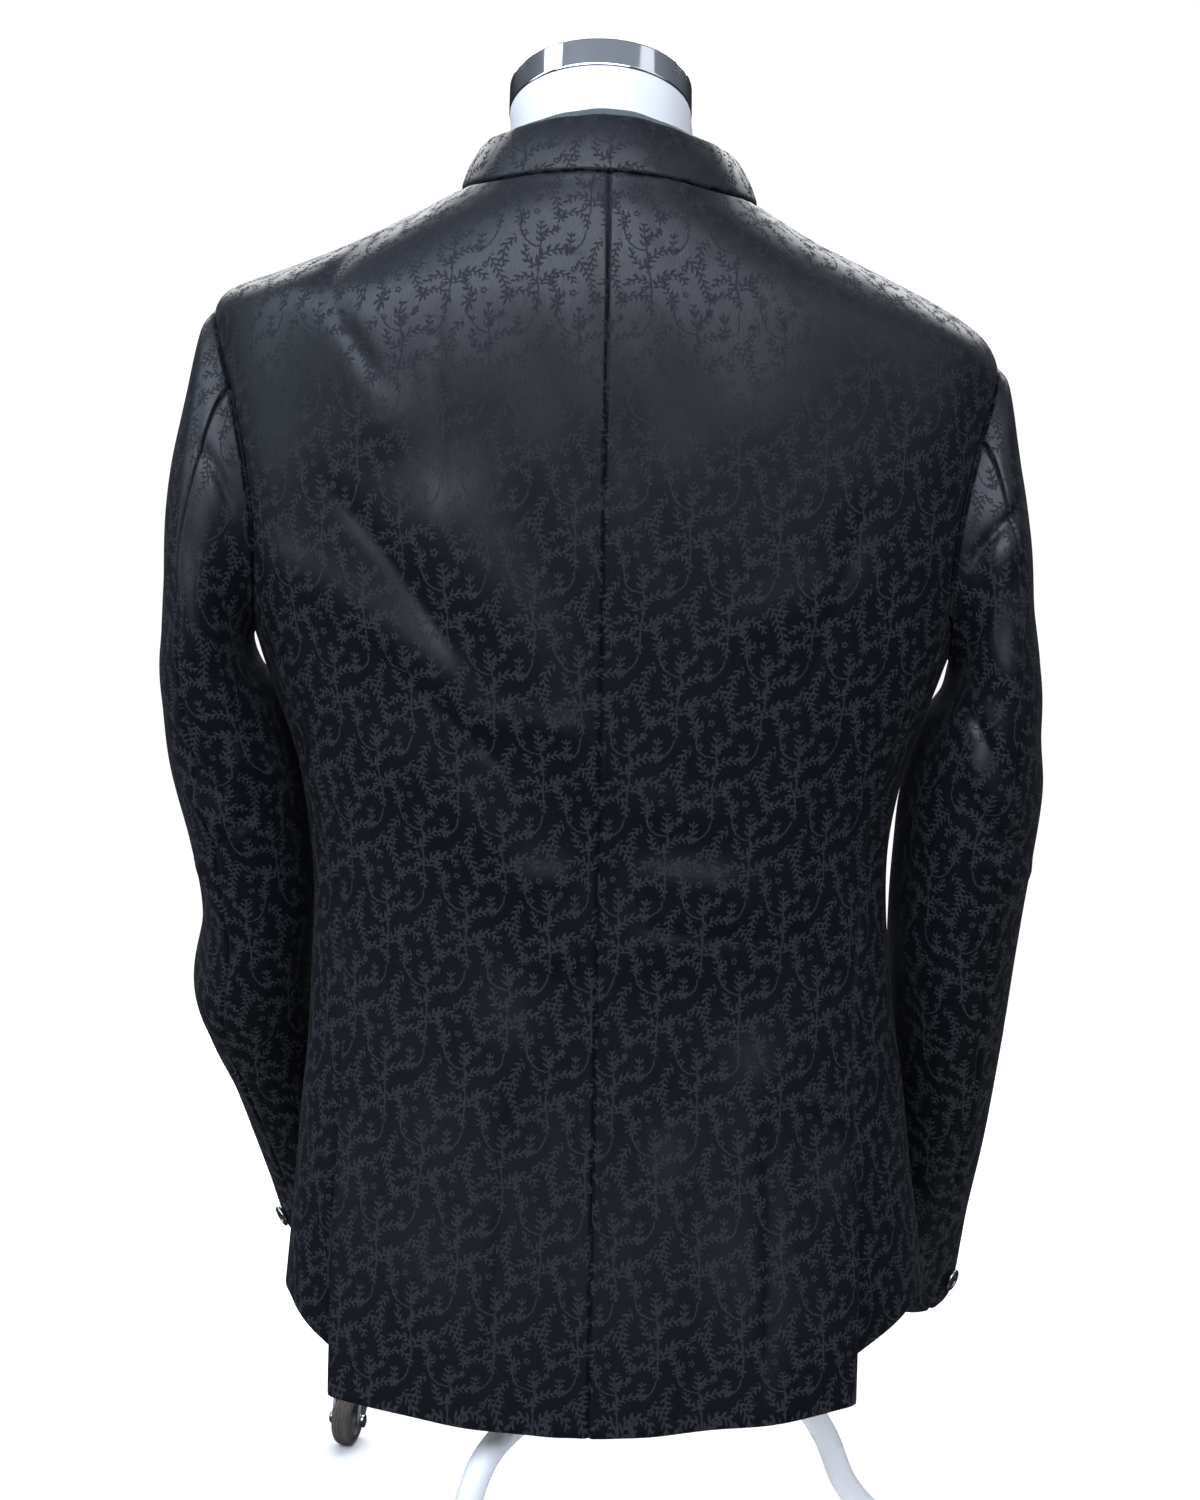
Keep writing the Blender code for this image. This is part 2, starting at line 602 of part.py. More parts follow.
def sleeve_skin(side, place, phi):
    def point_at(u, v):
        return sleeve_point(side, u, v)
    last = len(LEFT_SLEEVE) - 1
    normal = surface_normal(point_at, max(place, 0.08), phi, 0.08, -side * 2.0, last)
    return sleeve_point(side, place, phi), normal


def make_sleeve(side, name, phi_start, phi_end):
    columns = int((phi_end - phi_start) / LOOP_STEP)
    places = [0.0, ROLL_RING] + [float(r) for r in range(1, len(LEFT_SLEEVE))]
    rows = []
    for place in places:
        row = [sleeve_skin(side, place, phi_start + LOOP_STEP * c) for c in range(columns + 1)]
        rows.append(row)
    return cloth_wall(name, rows, JACKET_WALL, "jacket_cloth")


# ---------------------------------------------------------------- buttons

def turned(name, profile, material, steps, parent=None):
    """A solid of revolution about Z from a profile of (radius, height), top to bottom."""
    mesh = bpy.data.meshes.new(name)
    verts = [(radius, 0.0, height) for radius, height in profile]
    mesh.from_pydata(verts, [(i, i + 1) for i in range(len(verts) - 1)], [])
    obj = add_object(name, mesh, material, parent)
    screw = obj.modifiers.new("turn", "SCREW")
    screw.axis = "Z"
    screw.steps = steps
    screw.render_steps = steps
    screw.use_merge_vertices = True
    screw.merge_threshold = 0.0001
    screw.use_smooth_shade = True
    return obj


def ring_turned(name, profile, material, steps, parent=None):
    """A turned ring: the profile closes on itself and stays off the axis."""
    obj = turned(name, profile, material, steps, parent)
    last = len(profile) - 1
    verts = [tuple(v.co) for v in obj.data.vertices]
    obj.data.clear_geometry()
    obj.data.from_pydata(verts, [(i, i + 1) for i in range(last)] + [(last, 0)], [])
    return obj


def button(name, point, normal, radius, material="button"):
    """A domed button with a raised lip, on a short shank that ends just clear of the cloth."""
    thick = radius * 0.42
    profile = ((0.0, thick * 0.70), (radius * 0.55, thick * 0.70), (radius * 0.80, thick),
               (radius, thick * 0.62), (radius * 0.86, 0.0), (SHANK_RADIUS, 0.0),
               (SHANK_RADIUS, -SHANK_HEIGHT), (0.0, -SHANK_HEIGHT))
    obj = turned(name, profile, material, BUTTON_STEPS)
    foot = point + normal * (RUNNING_GAP + SHANK_HEIGHT)
    obj.matrix_world = (Matrix.Translation(foot)
                        @ normal.to_track_quat("Z", "Y").to_matrix().to_4x4())
    return obj


def make_front_buttons(front_rows):
    middle = FRONT_COLUMNS + 1
    for number, r in enumerate(FRONT_BUTTON_ROWS, 1):
        point, normal = front_rows[r][middle]
        button(f"front_button_{number}", point, normal, FRONT_BUTTON_RADIUS)


def make_waistcoat_buttons(front_rows):
    middle = FRONT_COLUMNS + 1
    for number, r in enumerate(WAISTCOAT_BUTTON_ROWS, 1):
        point, normal = front_rows[r][middle]
        button(f"waistcoat_button_{number}", point, normal, WAISTCOAT_BUTTON_RADIUS)


def make_cuff_button(side, name):
    """On the top sleeve beside its hind seam, between two rings."""
    last = len(LEFT_SLEEVE) - 1
    phi = SEAM_PHI - LOOP_STEP
    low, normal = sleeve_skin(side, last, phi)
    high, _ = sleeve_skin(side, last - 1, phi)
    along = (high - low).normalized()
    normal = (normal - along * normal.dot(along)).normalized()
    button(name, low.lerp(high, last - CUFF_BUTTON_RING), normal, CUFF_BUTTON_RADIUS)


# ---------------------------------------------------------------- form and neck cap

def form_ring(level):
    """One ring of the form under the waistcoat."""
    points = []
    for turn in ring_turns()[:-1]:
        slack = FORM_SLACK * max(smooth_step((YOKE_START + 0.3 - level) / 1.1),
                                 smooth_step(level - NECK_LEVEL + 1.0) * 0.4)
        front = 0.003 * smooth_step((abs(turn) - 90.0) / 27.0)
        armhole = 0.012 * smooth_step((level - 4.5) / 1.5) * smooth_step(9.0 - level)
        armhole *= smooth_step((abs(sin(radians(turn))) - 0.8) / 0.2)
        inward = (JACKET_WALL + WAISTCOAT_WALL + 2.0 * LAYER_GAP + under_gap(level, turn)
                  + max(slack, front) + armhole)
        points.append(under_skin(level, turn, -inward)[0])
    return points


def neck_ring(t, radius):
    """A tilted ring of the neck: t 0 lies in the neck seam's ring, 1 is the cut at the top."""
    tilt = radians(NECK_TILT)
    foot = Vector((0.0, 0.0145, 0.9365))
    top = Vector((NECK_SHIFT_X, NECK_CENTRE_Y, NECK_TOP_Z))
    centre = foot.lerp(top, t)
    points = []
    for turn in ring_turns()[:-1]:
        x, y = radius * sin(radians(turn)), radius * cos(radians(turn))
        points.append(centre + Vector((x, y * cos(tilt), y * sin(tilt))))
    return points


def make_form():
    """The torso and neck in one closed body."""
    rings = [form_ring(0.45)]
    for point in rings[0]:
        point.z = FORM_BOTTOM_Z
    levels = (1.0, 2.0, 3.0, 3.8, 4.6, 5.4, 6.2, 7.0, 7.6, 8.1) + YOKE_LEVELS
    rings += [form_ring(level) for level in levels]
    rings += [neck_ring(0.12, NECK_RADIUS + 0.013), neck_ring(0.30, NECK_RADIUS + 0.005),
              neck_ring(0.5, NECK_RADIUS + 0.001), neck_ring(1.0, NECK_RADIUS)]
    bm = bmesh.new()
    verts = [[bm.verts.new(point) for point in ring] for ring in rings]
    count = len(verts[0])
    closed = [ring + ring[:1] for ring in verts]
    for r in range(len(closed) - 1):
        for c in range(count):
            bm.faces.new(quad(closed, r, c, c < count // 2))
    bm.faces.new(verts[0])
    bm.faces.new(verts[-1][::-1])
    bmesh.ops.recalc_face_normals(bm, faces=bm.faces)
    mesh = bpy.data.meshes.new("form_torso")
    bm.to_mesh(mesh)
    bm.free()
    mesh.shade_smooth()
    mesh.set_sharp_from_angle(angle=radians(35.0))
    return add_object("form_torso", mesh, "form_white")


def make_neck_cap():
    edge = 0.0030
    profile = ((0.0, CAP_HEIGHT), (CAP_RADIUS - edge * 2.0, CAP_HEIGHT),
               (CAP_RADIUS - edge * 0.6, CAP_HEIGHT - edge * 0.6),
               (CAP_RADIUS, CAP_HEIGHT - edge * 2.0), (CAP_RADIUS, 0.0), (0.0, 0.0))
    cap = turned("neck_cap", profile, "chrome", 28)
    tilt = Matrix.Rotation(radians(NECK_TILT), 4, "X")
    top = Vector((NECK_SHIFT_X, NECK_CENTRE_Y, NECK_TOP_Z))
    cap.matrix_world = Matrix.Translation(top + tilt @ Vector((0.0, 0.0, RUNNING_GAP))) @ tilt
    return cap


# ---------------------------------------------------------------- stand

def make_pole():
    top = FORM_BOTTOM_Z - RUNNING_GAP
    profile = ((0.0, top), (FLANGE_RADIUS, top), (FLANGE_RADIUS, top - 0.005),
               (POLE_RADIUS + 0.006, top - 0.009), (POLE_RADIUS, top - 0.020),
               (POLE_RADIUS, HUB_TOP_Z + RUNNING_GAP), (0.0, HUB_TOP_Z + RUNNING_GAP))
    return turned("pole", profile, "stand_white", 20)


def make_hub():
    profile = ((0.0, HUB_TOP_Z), (POLE_RADIUS + 0.006, HUB_TOP_Z),
               (HUB_RADIUS, HUB_TOP_Z - 0.008), (HUB_RADIUS, HUB_BOTTOM_Z + 0.006),
               (HUB_RADIUS - 0.006, HUB_BOTTOM_Z), (0.0, HUB_BOTTOM_Z))
    return turned("hub", profile, "stand_white", 24)


def make_leg(number, heading):
    """A bent tube from the hub's side to the castor socket; its first and last runs are level."""
    line = [Place(*row) for row in LEG_LINE]
    steps = 2 * (len(line) - 1)
    rows = [Place(HUB_RADIUS + RUNNING_GAP, line[0].z)]
    rows += [read_table(line, i / 2.0) for i in range(steps + 1)]
    rows += [Place(LEG_REACH - SOCKET_RADIUS - RUNNING_GAP, line[-1].z)]
    curve = bpy.data.curves.new(f"leg_{number}", "CURVE")
    curve.dimensions = "3D"
    curve.bevel_depth = LEG_RADIUS
    curve.bevel_resolution = 2
    curve.use_fill_caps = True
    spline = curve.splines.new("POLY")
    spline.points.add(len(rows) - 1)
    for spline_point, row in zip(spline.points, rows):
        spline_point.co = (row.reach * cos(heading), row.reach * sin(heading), row.z, 1.0)
    return add_object(f"leg_{number}", curve, "stand_white")


def make_socket(number, swivel):
    bore = STEM_RADIUS + RUNNING_GAP
    end = STEM_TOP_Z + RUNNING_GAP
    profile = ((0.0, SOCKET_TOP_Z), (SOCKET_RADIUS - 0.002, SOCKET_TOP_Z),
               (SOCKET_RADIUS, SOCKET_TOP_Z - 0.002), (SOCKET_RADIUS, SOCKET_BOTTOM_Z),
               (bore, SOCKET_BOTTOM_Z), (bore, end), (0.0, end))
    obj = turned(f"castor_socket_{number}", profile, "socket_tan", 16)
    obj.location = (swivel.x, swivel.y, 0.0)
    return obj


def flat_plate(outline, hole, thickness):
    """A flat outline with a round hole, as a mesh in the XY plane."""
    curve = bpy.data.curves.new("plate", "CURVE")
    curve.dimensions = "2D"
    curve.fill_mode = "BOTH"
    curve.extrude = thickness / 2.0
    for points in (outline, hole):
        spline = curve.splines.new("POLY")
        spline.points.add(len(points) - 1)
        for spline_point, (x, y) in zip(spline.points, points):
            spline_point.co = (x, y, 0.0, 1.0)
        spline.use_cyclic_u = True
    obj = bpy.data.objects.new("plate", curve)
    bpy.context.scene.collection.objects.link(obj)
    graph = bpy.context.evaluated_depsgraph_get()
    mesh = bpy.data.meshes.new_from_object(obj.evaluated_get(graph))
    bpy.data.objects.remove(obj, do_unlink=True)
    bm = bmesh.new()
    bm.from_mesh(mesh)
    bmesh.ops.remove_doubles(bm, verts=bm.verts, dist=0.00001)
    bmesh.ops.recalc_face_normals(bm, faces=bm.faces)
    bm.to_mesh(mesh)
    bm.free()
    return mesh


def circle(x, y, radius, count, start=0.0, sweep=2.0 * pi):
    full = abs(sweep - 2.0 * pi) < 1e-6
    steps = count if full else count - 1
    return [(x + radius * cos(start + sweep * i / steps), y + radius * sin(start + sweep * i / steps))
            for i in range(count)]


def make_fork(number, swivel_empty):
    """Two plates, a crown and the swivel stem, joined. Local X is the way the wheel trails."""
    eye = 0.0058
    outline = circle(CASTOR_TRAIL, WHEEL_RADIUS, eye, 7, radians(-150.0), radians(180.0))
    outline += [(0.0100, CROWN_TOP_Z), (-0.0100, CROWN_TOP_Z), (-0.0100, CROWN_BOTTOM_Z - 0.004)]
    hole = circle(CASTOR_TRAIL, WHEEL_RADIUS, AXLE_RADIUS + RUNNING_GAP, 10)
    stem = turned(f"castor_fork_{number}",
                  ((0.0, STEM_TOP_Z), (STEM_RADIUS, STEM_TOP_Z),
                   (STEM_RADIUS, SOCKET_BOTTOM_Z - RUNNING_GAP),
                   (0.0080, SOCKET_BOTTOM_Z - RUNNING_GAP), (0.0080, CROWN_TOP_Z - 0.001),
                   (0.0, CROWN_TOP_Z - 0.001)), "fork_steel", 12, swivel_empty)
    cutters = []
    for sign in (-1.0, 1.0):
        plate = bpy.data.objects.new(f"plate_{number}_{int(sign)}",
                                     flat_plate(outline, hole, FORK_PLATE))
        middle = sign * (FORK_INNER + FORK_PLATE / 2.0)
        plate.matrix_local = Matrix.Translation((0.0, middle, 0.0)) @ Matrix.Rotation(pi / 2, 4, "X")
        cutters.append(plate)
    bpy.ops.mesh.primitive_cube_add(size=1.0)
    crown = bpy.context.active_object
    crown.users_collection[0].objects.unlink(crown)
    crown.name = f"crown_{number}"
    half = FORK_INNER + FORK_PLATE
    for vertex in crown.data.vertices:
        vertex.co = Vector((vertex.co.x * 0.0200, vertex.co.y * 2.0 * half,
                            vertex.co.z * (CROWN_TOP_Z - CROWN_BOTTOM_Z)
                            + (CROWN_TOP_Z + CROWN_BOTTOM_Z) / 2.0))
    cutters.insert(0, crown)
    for cutter in cutters:
        CUTTERS.objects.link(cutter)
        cutter.parent = swivel_empty
        cutter.hide_render = True
        cutter.display_type = "WIRE"
        union = stem.modifiers.new("join", "BOOLEAN")
        union.operation = "UNION"
        union.object = cutter
    return stem


def along_axle(obj):
    """Turn a piece made about Z so that it lies along the axle, local Y."""
    obj.rotation_euler = (pi / 2.0, 0.0, 0.0)
    return obj


def make_wheel(number, axle_empty):
    half = TYRE_WIDTH / 2.0
    inner = RIM_RADIUS + RUNNING_GAP
    shoulder = 0.0035
    tyre = ring_turned(f"castor_tyre_{number}",
                       ((inner, half - 0.001), (WHEEL_RADIUS - shoulder, half),
                        (WHEEL_RADIUS - 0.001, half - 0.0025), (WHEEL_RADIUS, 0.0),
                        (WHEEL_RADIUS - 0.001, -half + 0.0025), (WHEEL_RADIUS - shoulder, -half),
                        (inner, -half + 0.001)), "tyre_rubber", 20, axle_empty)
    bore = AXLE_RADIUS + RUNNING_GAP
    rim = ring_turned(f"castor_rim_{number}",
                      ((bore, half + 0.0008), (0.0065, half + 0.0008), (0.0065, half - 0.003),
                       (RIM_RADIUS, half - 0.003), (RIM_RADIUS, -half + 0.003),
                       (0.0065, -half + 0.003), (0.0065, -half - 0.0008),
                       (bore, -half - 0.0008)), "rim_grey", 12, axle_empty)
    return along_axle(tyre), along_axle(rim)


def make_axle(number, axle_empty):
    """A bolt through both fork plates with a domed head and a nut outside them."""
    end = FORK_INNER + FORK_PLATE + RUNNING_GAP
    head = 0.0052
    profile = ((0.0, end + 0.0030), (head * 0.6, end + 0.0026), (head, end + 0.0006), (head, end),
               (AXLE_RADIUS, end), (AXLE_RADIUS, -end), (head, -end), (head, -end - 0.0022),
               (0.0, -end - 0.0022))
    return along_axle(turned(f"castor_axle_{number}", profile, "axle_zinc", 12, axle_empty))


def add_empty(name, location, turn, parent=None):
    empty = bpy.data.objects.new(name, None)
    PARTS.objects.link(empty)
    empty.parent = parent
    empty.location = location
    empty.rotation_euler = (0.0, 0.0, turn)
    return empty


def make_stand():
    make_pole()
    make_hub()
    for k in range(LEG_COUNT):
        heading = radians(LEG_TURN + 360.0 * k / LEG_COUNT)
        swivel = Vector((LEG_REACH * cos(heading), LEG_REACH * sin(heading), 0.0))
        make_leg(k + 1, heading)
        make_socket(k + 1, swivel)
        swivel_empty = add_empty(f"swivel_{k + 1}", swivel, radians(CASTOR_TURNS[k]))
        make_fork(k + 1, swivel_empty)
        axle_empty = add_empty(f"axle_{k + 1}", (CASTOR_TRAIL, 0.0, WHEEL_RADIUS), 0.0, swivel_empty)
        make_wheel(k + 1, axle_empty)
        make_axle(k + 1, axle_empty)


def centre_on_floor():
    """Move everything so that the middle of its outline stands over the origin."""
    bpy.context.view_layer.update()
    graph = bpy.context.evaluated_depsgraph_get()
    low, high = Vector((9.0, 9.0, 9.0)), Vector((-9.0, -9.0, -9.0))
    for obj in PARTS.objects:
        if obj.type == "EMPTY":
            continue
        evaluated = obj.evaluated_get(graph)
        for vertex in evaluated.to_mesh().vertices:
            place = evaluated.matrix_world @ vertex.co
            low = Vector(map(min, low, place))
            high = Vector(map(max, high, place))
    shift = Vector(((low.x + high.x) / 2.0, (low.y + high.y) / 2.0, 0.0))
    for obj in PARTS.objects:
        if obj.parent is None:
            obj.matrix_world = Matrix.Translation(-shift) @ obj.matrix_world
    print("pole axis at", [round(-value, 5) for value in shift[:2]])


def make_jacket():
    make_back(1, "back_left")
    make_back(-1, "back_right")
    make_side(1, "side_left")
    make_side(-1, "side_right")
    _, rows = make_front(1, "front_left")
    make_front(-1, "front_right")
    make_front_buttons(rows)
    make_collar("collar", JACKET_WALL, "jacket_cloth", False)
    for side, word in ((1, "left"), (-1, "right")):
        make_sleeve(side, f"sleeve_top_{word}", -SEAM_PHI, SEAM_PHI)
        make_sleeve(side, f"sleeve_under_{word}", SEAM_PHI, 360.0 - SEAM_PHI)
        make_cuff_button(side, f"cuff_button_{word}")


def make_waistcoat():
    make_waistcoat_back()
    _, rows = make_waistcoat_front(1, "waistcoat_front_left")
    make_waistcoat_front(-1, "waistcoat_front_right")
    make_waistcoat_buttons(rows)
    make_collar("waistcoat_collar", WAISTCOAT_WALL, "waistcoat_cloth", True)


clear_scene()
PARTS = bpy.data.collections.new("bandhgala_jacket_and_waistcoat")
CUTTERS = bpy.data.collections.new("cutters")
bpy.context.scene.collection.children.link(PARTS)
bpy.context.scene.collection.children.link(CUTTERS)
MATERIALS = make_materials()
make_jacket()
make_waistcoat()
make_form()
make_neck_cap()
make_stand()
centre_on_floor()
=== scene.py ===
# Bandhgala jacket over a stand-collar waistcoat, on a dress form with a castor stand.
# The wearer's back faces +Y, where the camera stands, and the wearer's left is +X.
import math

import bmesh
import bpy
import numpy as np
from mathutils import Matrix, Vector


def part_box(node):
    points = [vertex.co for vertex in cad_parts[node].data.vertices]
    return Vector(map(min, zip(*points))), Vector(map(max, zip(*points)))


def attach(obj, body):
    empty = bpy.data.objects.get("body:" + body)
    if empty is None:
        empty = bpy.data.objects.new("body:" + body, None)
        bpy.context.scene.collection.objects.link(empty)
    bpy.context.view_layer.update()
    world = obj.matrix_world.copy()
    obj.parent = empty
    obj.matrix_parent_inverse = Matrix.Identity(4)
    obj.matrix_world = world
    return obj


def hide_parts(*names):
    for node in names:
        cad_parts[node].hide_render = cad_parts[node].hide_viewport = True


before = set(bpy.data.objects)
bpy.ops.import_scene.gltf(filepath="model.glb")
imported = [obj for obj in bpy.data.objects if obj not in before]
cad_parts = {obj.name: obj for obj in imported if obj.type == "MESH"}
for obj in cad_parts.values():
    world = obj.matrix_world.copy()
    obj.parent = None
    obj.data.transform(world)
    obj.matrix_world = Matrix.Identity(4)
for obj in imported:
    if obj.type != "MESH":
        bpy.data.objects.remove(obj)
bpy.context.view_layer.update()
scene = bpy.context.scene
hubLow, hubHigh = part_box("hub")
pole = np.array([(hubLow.x + hubHigh.x) / 2, (hubLow.y + hubHigh.y) / 2, 0.0])   # the stand's own axis
standBody = "stand_and_clothes"
print("frame loaded, pole at", np.round(pole, 5))


# objects and nodes

def addObject(name, data):
    added = bpy.data.objects.new(name, data)
    scene.collection.objects.link(added)
    return added


def newMesh(name, points, faces, edges=()):
    mesh = bpy.data.meshes.new(name)
    mesh.from_pydata(points, edges, faces)
    return mesh


def declare(piece, body, nodes=()):
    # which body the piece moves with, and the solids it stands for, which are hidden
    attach(piece, body)
    if nodes:
        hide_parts(*nodes)


def placeNode(tree, kind, inputs=None, **settings):
    node = tree.nodes.new(kind)
    for key, value in settings.items():
        setattr(node, key, value)
    for key, value in (inputs or {}).items():
        plug(tree, node.inputs[key], value)
    return node


def plug(tree, socket, value):
    if isinstance(value, Value):
        value = value.socket
    if isinstance(value, bpy.types.NodeSocket):
        tree.links.new(value, socket)
    else:
        socket.default_value = value


class Value:
    # a number in a node tree, so that a sum is written as it is read
    def __init__(self, tree, socket):
        self.tree = tree
        self.socket = socket

    def math(self, operation, *others, clamp=False):
        inputs = dict(enumerate((self, *others)))
        node = placeNode(self.tree, "ShaderNodeMath", inputs, operation=operation, use_clamp=clamp)
        return Value(self.tree, node.outputs[0])

    def wrap(self, low, high):
        return self.math("WRAP", high, low)

    def __abs__(self):
        return self.math("ABSOLUTE")

    def __add__(self, other):
        return self.math("ADD", other)

    def __sub__(self, other):
        return self.math("SUBTRACT", other)

    def __mul__(self, other):
        return self.math("MULTIPLY", other)

    def __truediv__(self, other):
        return self.math("DIVIDE", other)


def between(tree, share, low, high, floor=0.0, ceiling=1.0):
    inputs = {"Value": share, "From Min": floor, "From Max": ceiling, "To Min": low, "To Max": high}
    return Value(tree, placeNode(tree, "ShaderNodeMapRange", inputs).outputs["Result"])


def vectorNode(tree, operation, inputs):
    return placeNode(tree, "ShaderNodeVectorMath", inputs, operation=operation).outputs[0]


def layOut(tree):
    # columns from right to left by how far a node is from the output
    columns, wide, high = 60, 220.0, 170.0
    depth = {node.name: 0 for node in tree.nodes}
    for _ in range(columns):
        moved = False
        for wire in tree.links:
            want = depth[wire.to_node.name] + 1
            if depth[wire.from_node.name] < want < columns:
                depth[wire.from_node.name] = want
                moved = True
        if not moved:
            break
    rows = {}
    for node in tree.nodes:
        column = depth[node.name]
        rows[column] = rows.get(column, 0) + 1
        node.location = (-wide * column, -high * rows[column])


# camera and studio

camera = {"lens": 58.8, "distance": 1.555, "height": 0.86, "tilt": 9.0, "roll": 1.0}
studio = {
    "topLight": {"place": (0.30, 1.30, 1.95), "aim": (0.0, 0.12, 0.78), "size": (2.9, 1.2), "watts": 57.0,
                 "colour": (0.79, 0.86, 1.0)},
    "frontLight": {"place": (0.10, 2.10, 1.62), "aim": (0.0, 0.1, 0.76), "size": (3.0, 0.7), "watts": 12.0,
                   "colour": (0.80, 0.85, 1.0)},
    "leftLight": {"place": (2.3, 0.30, 2.00), "aim": (0.05, 0.0, 0.95), "size": (0.8, 2.4), "watts": 26.0,
                  "colour": (0.74, 0.86, 1.0)},
    "rightLight": {"place": (-2.40, 0.90, 2.30), "aim": (0.0, 0.0, 1.10), "size": (1.6, 2.2), "watts": 9.0,
                   "colour": (0.92, 0.96, 1.0)},
    "floorLight": {"place": (0.0, -1.25, 1.50), "aim": (0.0, -1.12, 0.0), "size": (2.2, 0.9), "watts": 48.0,
                   "colour": (1.0, 1.0, 1.0)},
}
# the room's light at eye level and overhead, between two heights of the way looked, and the wall behind
room = {"level": 0.04, "above": 0.42, "low": 0.15, "high": 0.75, "behind": 1.30,
        "colour": (0.68, 0.75, 0.90, 1.0)}


def addCamera(values):
    data = bpy.data.cameras.new("camera")
    data.lens = values["lens"]
    data.sensor_width = 36.0
    data.clip_start, data.clip_end = 0.05, 50.0
    turn = (Matrix.Rotation(math.pi, 4, "Z") @ Matrix.Rotation(math.radians(90.0 - values["tilt"]), 4, "X")
            @ Matrix.Rotation(math.radians(values["roll"]), 4, "Z"))
    place = Vector(pole) + Vector((0.0, values["distance"], values["height"]))
    scene.camera = addObject("camera", data)
    scene.camera.matrix_world = Matrix.Translation(place) @ turn


def addLight(name, values):
    data = bpy.data.lights.new(name, "AREA")
    data.shape = "RECTANGLE"
    data.size, data.size_y = values["size"]
    data.energy = values["watts"]
    data.color = values["colour"]
    place = Vector(values["place"]) + Vector(pole)
    aim = Vector(values["aim"]) + Vector(pole)
    turn = (aim - place).to_track_quat("-Z", "Y").to_matrix().to_4x4()
    addObject(name, data).matrix_world = Matrix.Translation(place) @ turn


def addWorld(values):
    # a room that is lighter overhead, and a white wall that the camera alone sees
    scene.world = bpy.data.worlds.new("studio")
    scene.world.use_nodes = True
    tree = scene.world.node_tree
    tree.nodes.clear()
    way = placeNode(tree, "ShaderNodeTexCoord").outputs["Generated"]
    height = placeNode(tree, "ShaderNodeSeparateXYZ", {0: way}).outputs["Z"]
    light = between(tree, height, values["level"], values["above"], values["low"], values["high"])
    inside = placeNode(tree, "ShaderNodeBackground", {"Color": values["colour"], "Strength": light})
    wall = placeNode(tree, "ShaderNodeBackground", {"Strength": values["behind"]})
    seen = placeNode(tree, "ShaderNodeLightPath").outputs["Is Camera Ray"]
    mix = placeNode(tree, "ShaderNodeMixShader", {0: seen, 1: inside.outputs[0], 2: wall.outputs[0]})
    placeNode(tree, "ShaderNodeOutputWorld", {0: mix.outputs[0]})


addCamera(camera)
for lightName, lightValues in studio.items():
    addLight(lightName, lightValues)
addWorld(room)
scene.view_settings.view_transform = "Standard"
print("camera and lights set")


# shader groups

def makeGroup(name, inputs, outputs, build):
    # inputs are names and defaults, none for a vector; build takes them as values and gives the outputs
    tree = bpy.data.node_groups.new(name, "ShaderNodeTree")
    for label, value in inputs.items():
        kind = "NodeSocketVector" if value is None else "NodeSocketFloat"
        socket = tree.interface.new_socket(name=label, in_out="INPUT", socket_type=kind)
        if value is not None:
            socket.default_value = value
    for label in outputs:
        tree.interface.new_socket(name=label, in_out="OUTPUT", socket_type="NodeSocketFloat")
    given = [Value(tree, socket) for socket in tree.nodes.new("NodeGroupInput").outputs[:len(inputs)]]
    result = tree.nodes.new("NodeGroupOutput").inputs
    for socket, value in zip(result, build(*given)):
        plug(tree, socket, value)
    layOut(tree)
    return tree


def useGroup(tree, group, **inputs):
    labels = {key.replace("_", " "): value for key, value in inputs.items()}
    outputs = placeNode(tree, "ShaderNodeGroup", labels, node_tree=group).outputs
    return [Value(tree, socket) for socket in outputs]


def buildLeafyLine(along, across, start, end, spacing, leafLength, leafWidth, lineWidth, stagger):
    # a stem with pairs of pointed leaves, all in millimetres along and across it; negative is inside
    slant = math.sqrt(0.5)
    ends = abs(along - (start + end) * 0.5) - (end - start) * 0.5
    side = abs(across)
    stem = (side - lineWidth * 0.5).math("MAXIMUM", ends)
    later = across.math("GREATER_THAN", 0.0) * stagger * spacing
    step = (along - start + later).wrap(0.0, spacing)
    out = (step + side) * slant
    off = abs(side - step) * slant
    middle = leafLength * 0.5
    share = (out - middle) / middle
    breadth = (share * share * -1.0 + 1.0) * leafWidth * 0.5
    leaf = (off - breadth).math("MAXIMUM", ends)
    return [stem.math("MINIMUM", leaf)]


def buildArcCoordinates(x, y, centreX, centreY, radius, start, way):
    # the way along an arc and out from it, in millimetres
    x, y = x - centreX, y - centreY
    reach = (x * x + y * y).math("SQRT")
    angle = (y.math("ARCTAN2", x) - start) * way
    return [angle.wrap(-1.0, 2.0 * math.pi - 1.0) * radius, reach - radius]


def buildRosette(x, y, radius, petals, cut, eye):
    reach = (x * x + y * y).math("SQRT")
    wave = ((y.math("ARCTAN2", x) * petals).math("COSINE") - 1.0) * cut + 1.0
    return [(reach - wave * radius).math("MAXIMUM", radius * eye - reach)]


def buildRepeatCell(x, y, atX, atY, across, up):
    # the nearest copy of a place in a half-drop repeat, so that no shape is cut off at the edge of one
    x, y = x - atX, y - atY
    half, high = across * 0.5, up * 0.5
    row = ((y + high) / up).math("FLOOR")
    return [(row * half + x).wrap(half * -1.0, half), y.wrap(high * -1.0, high)]


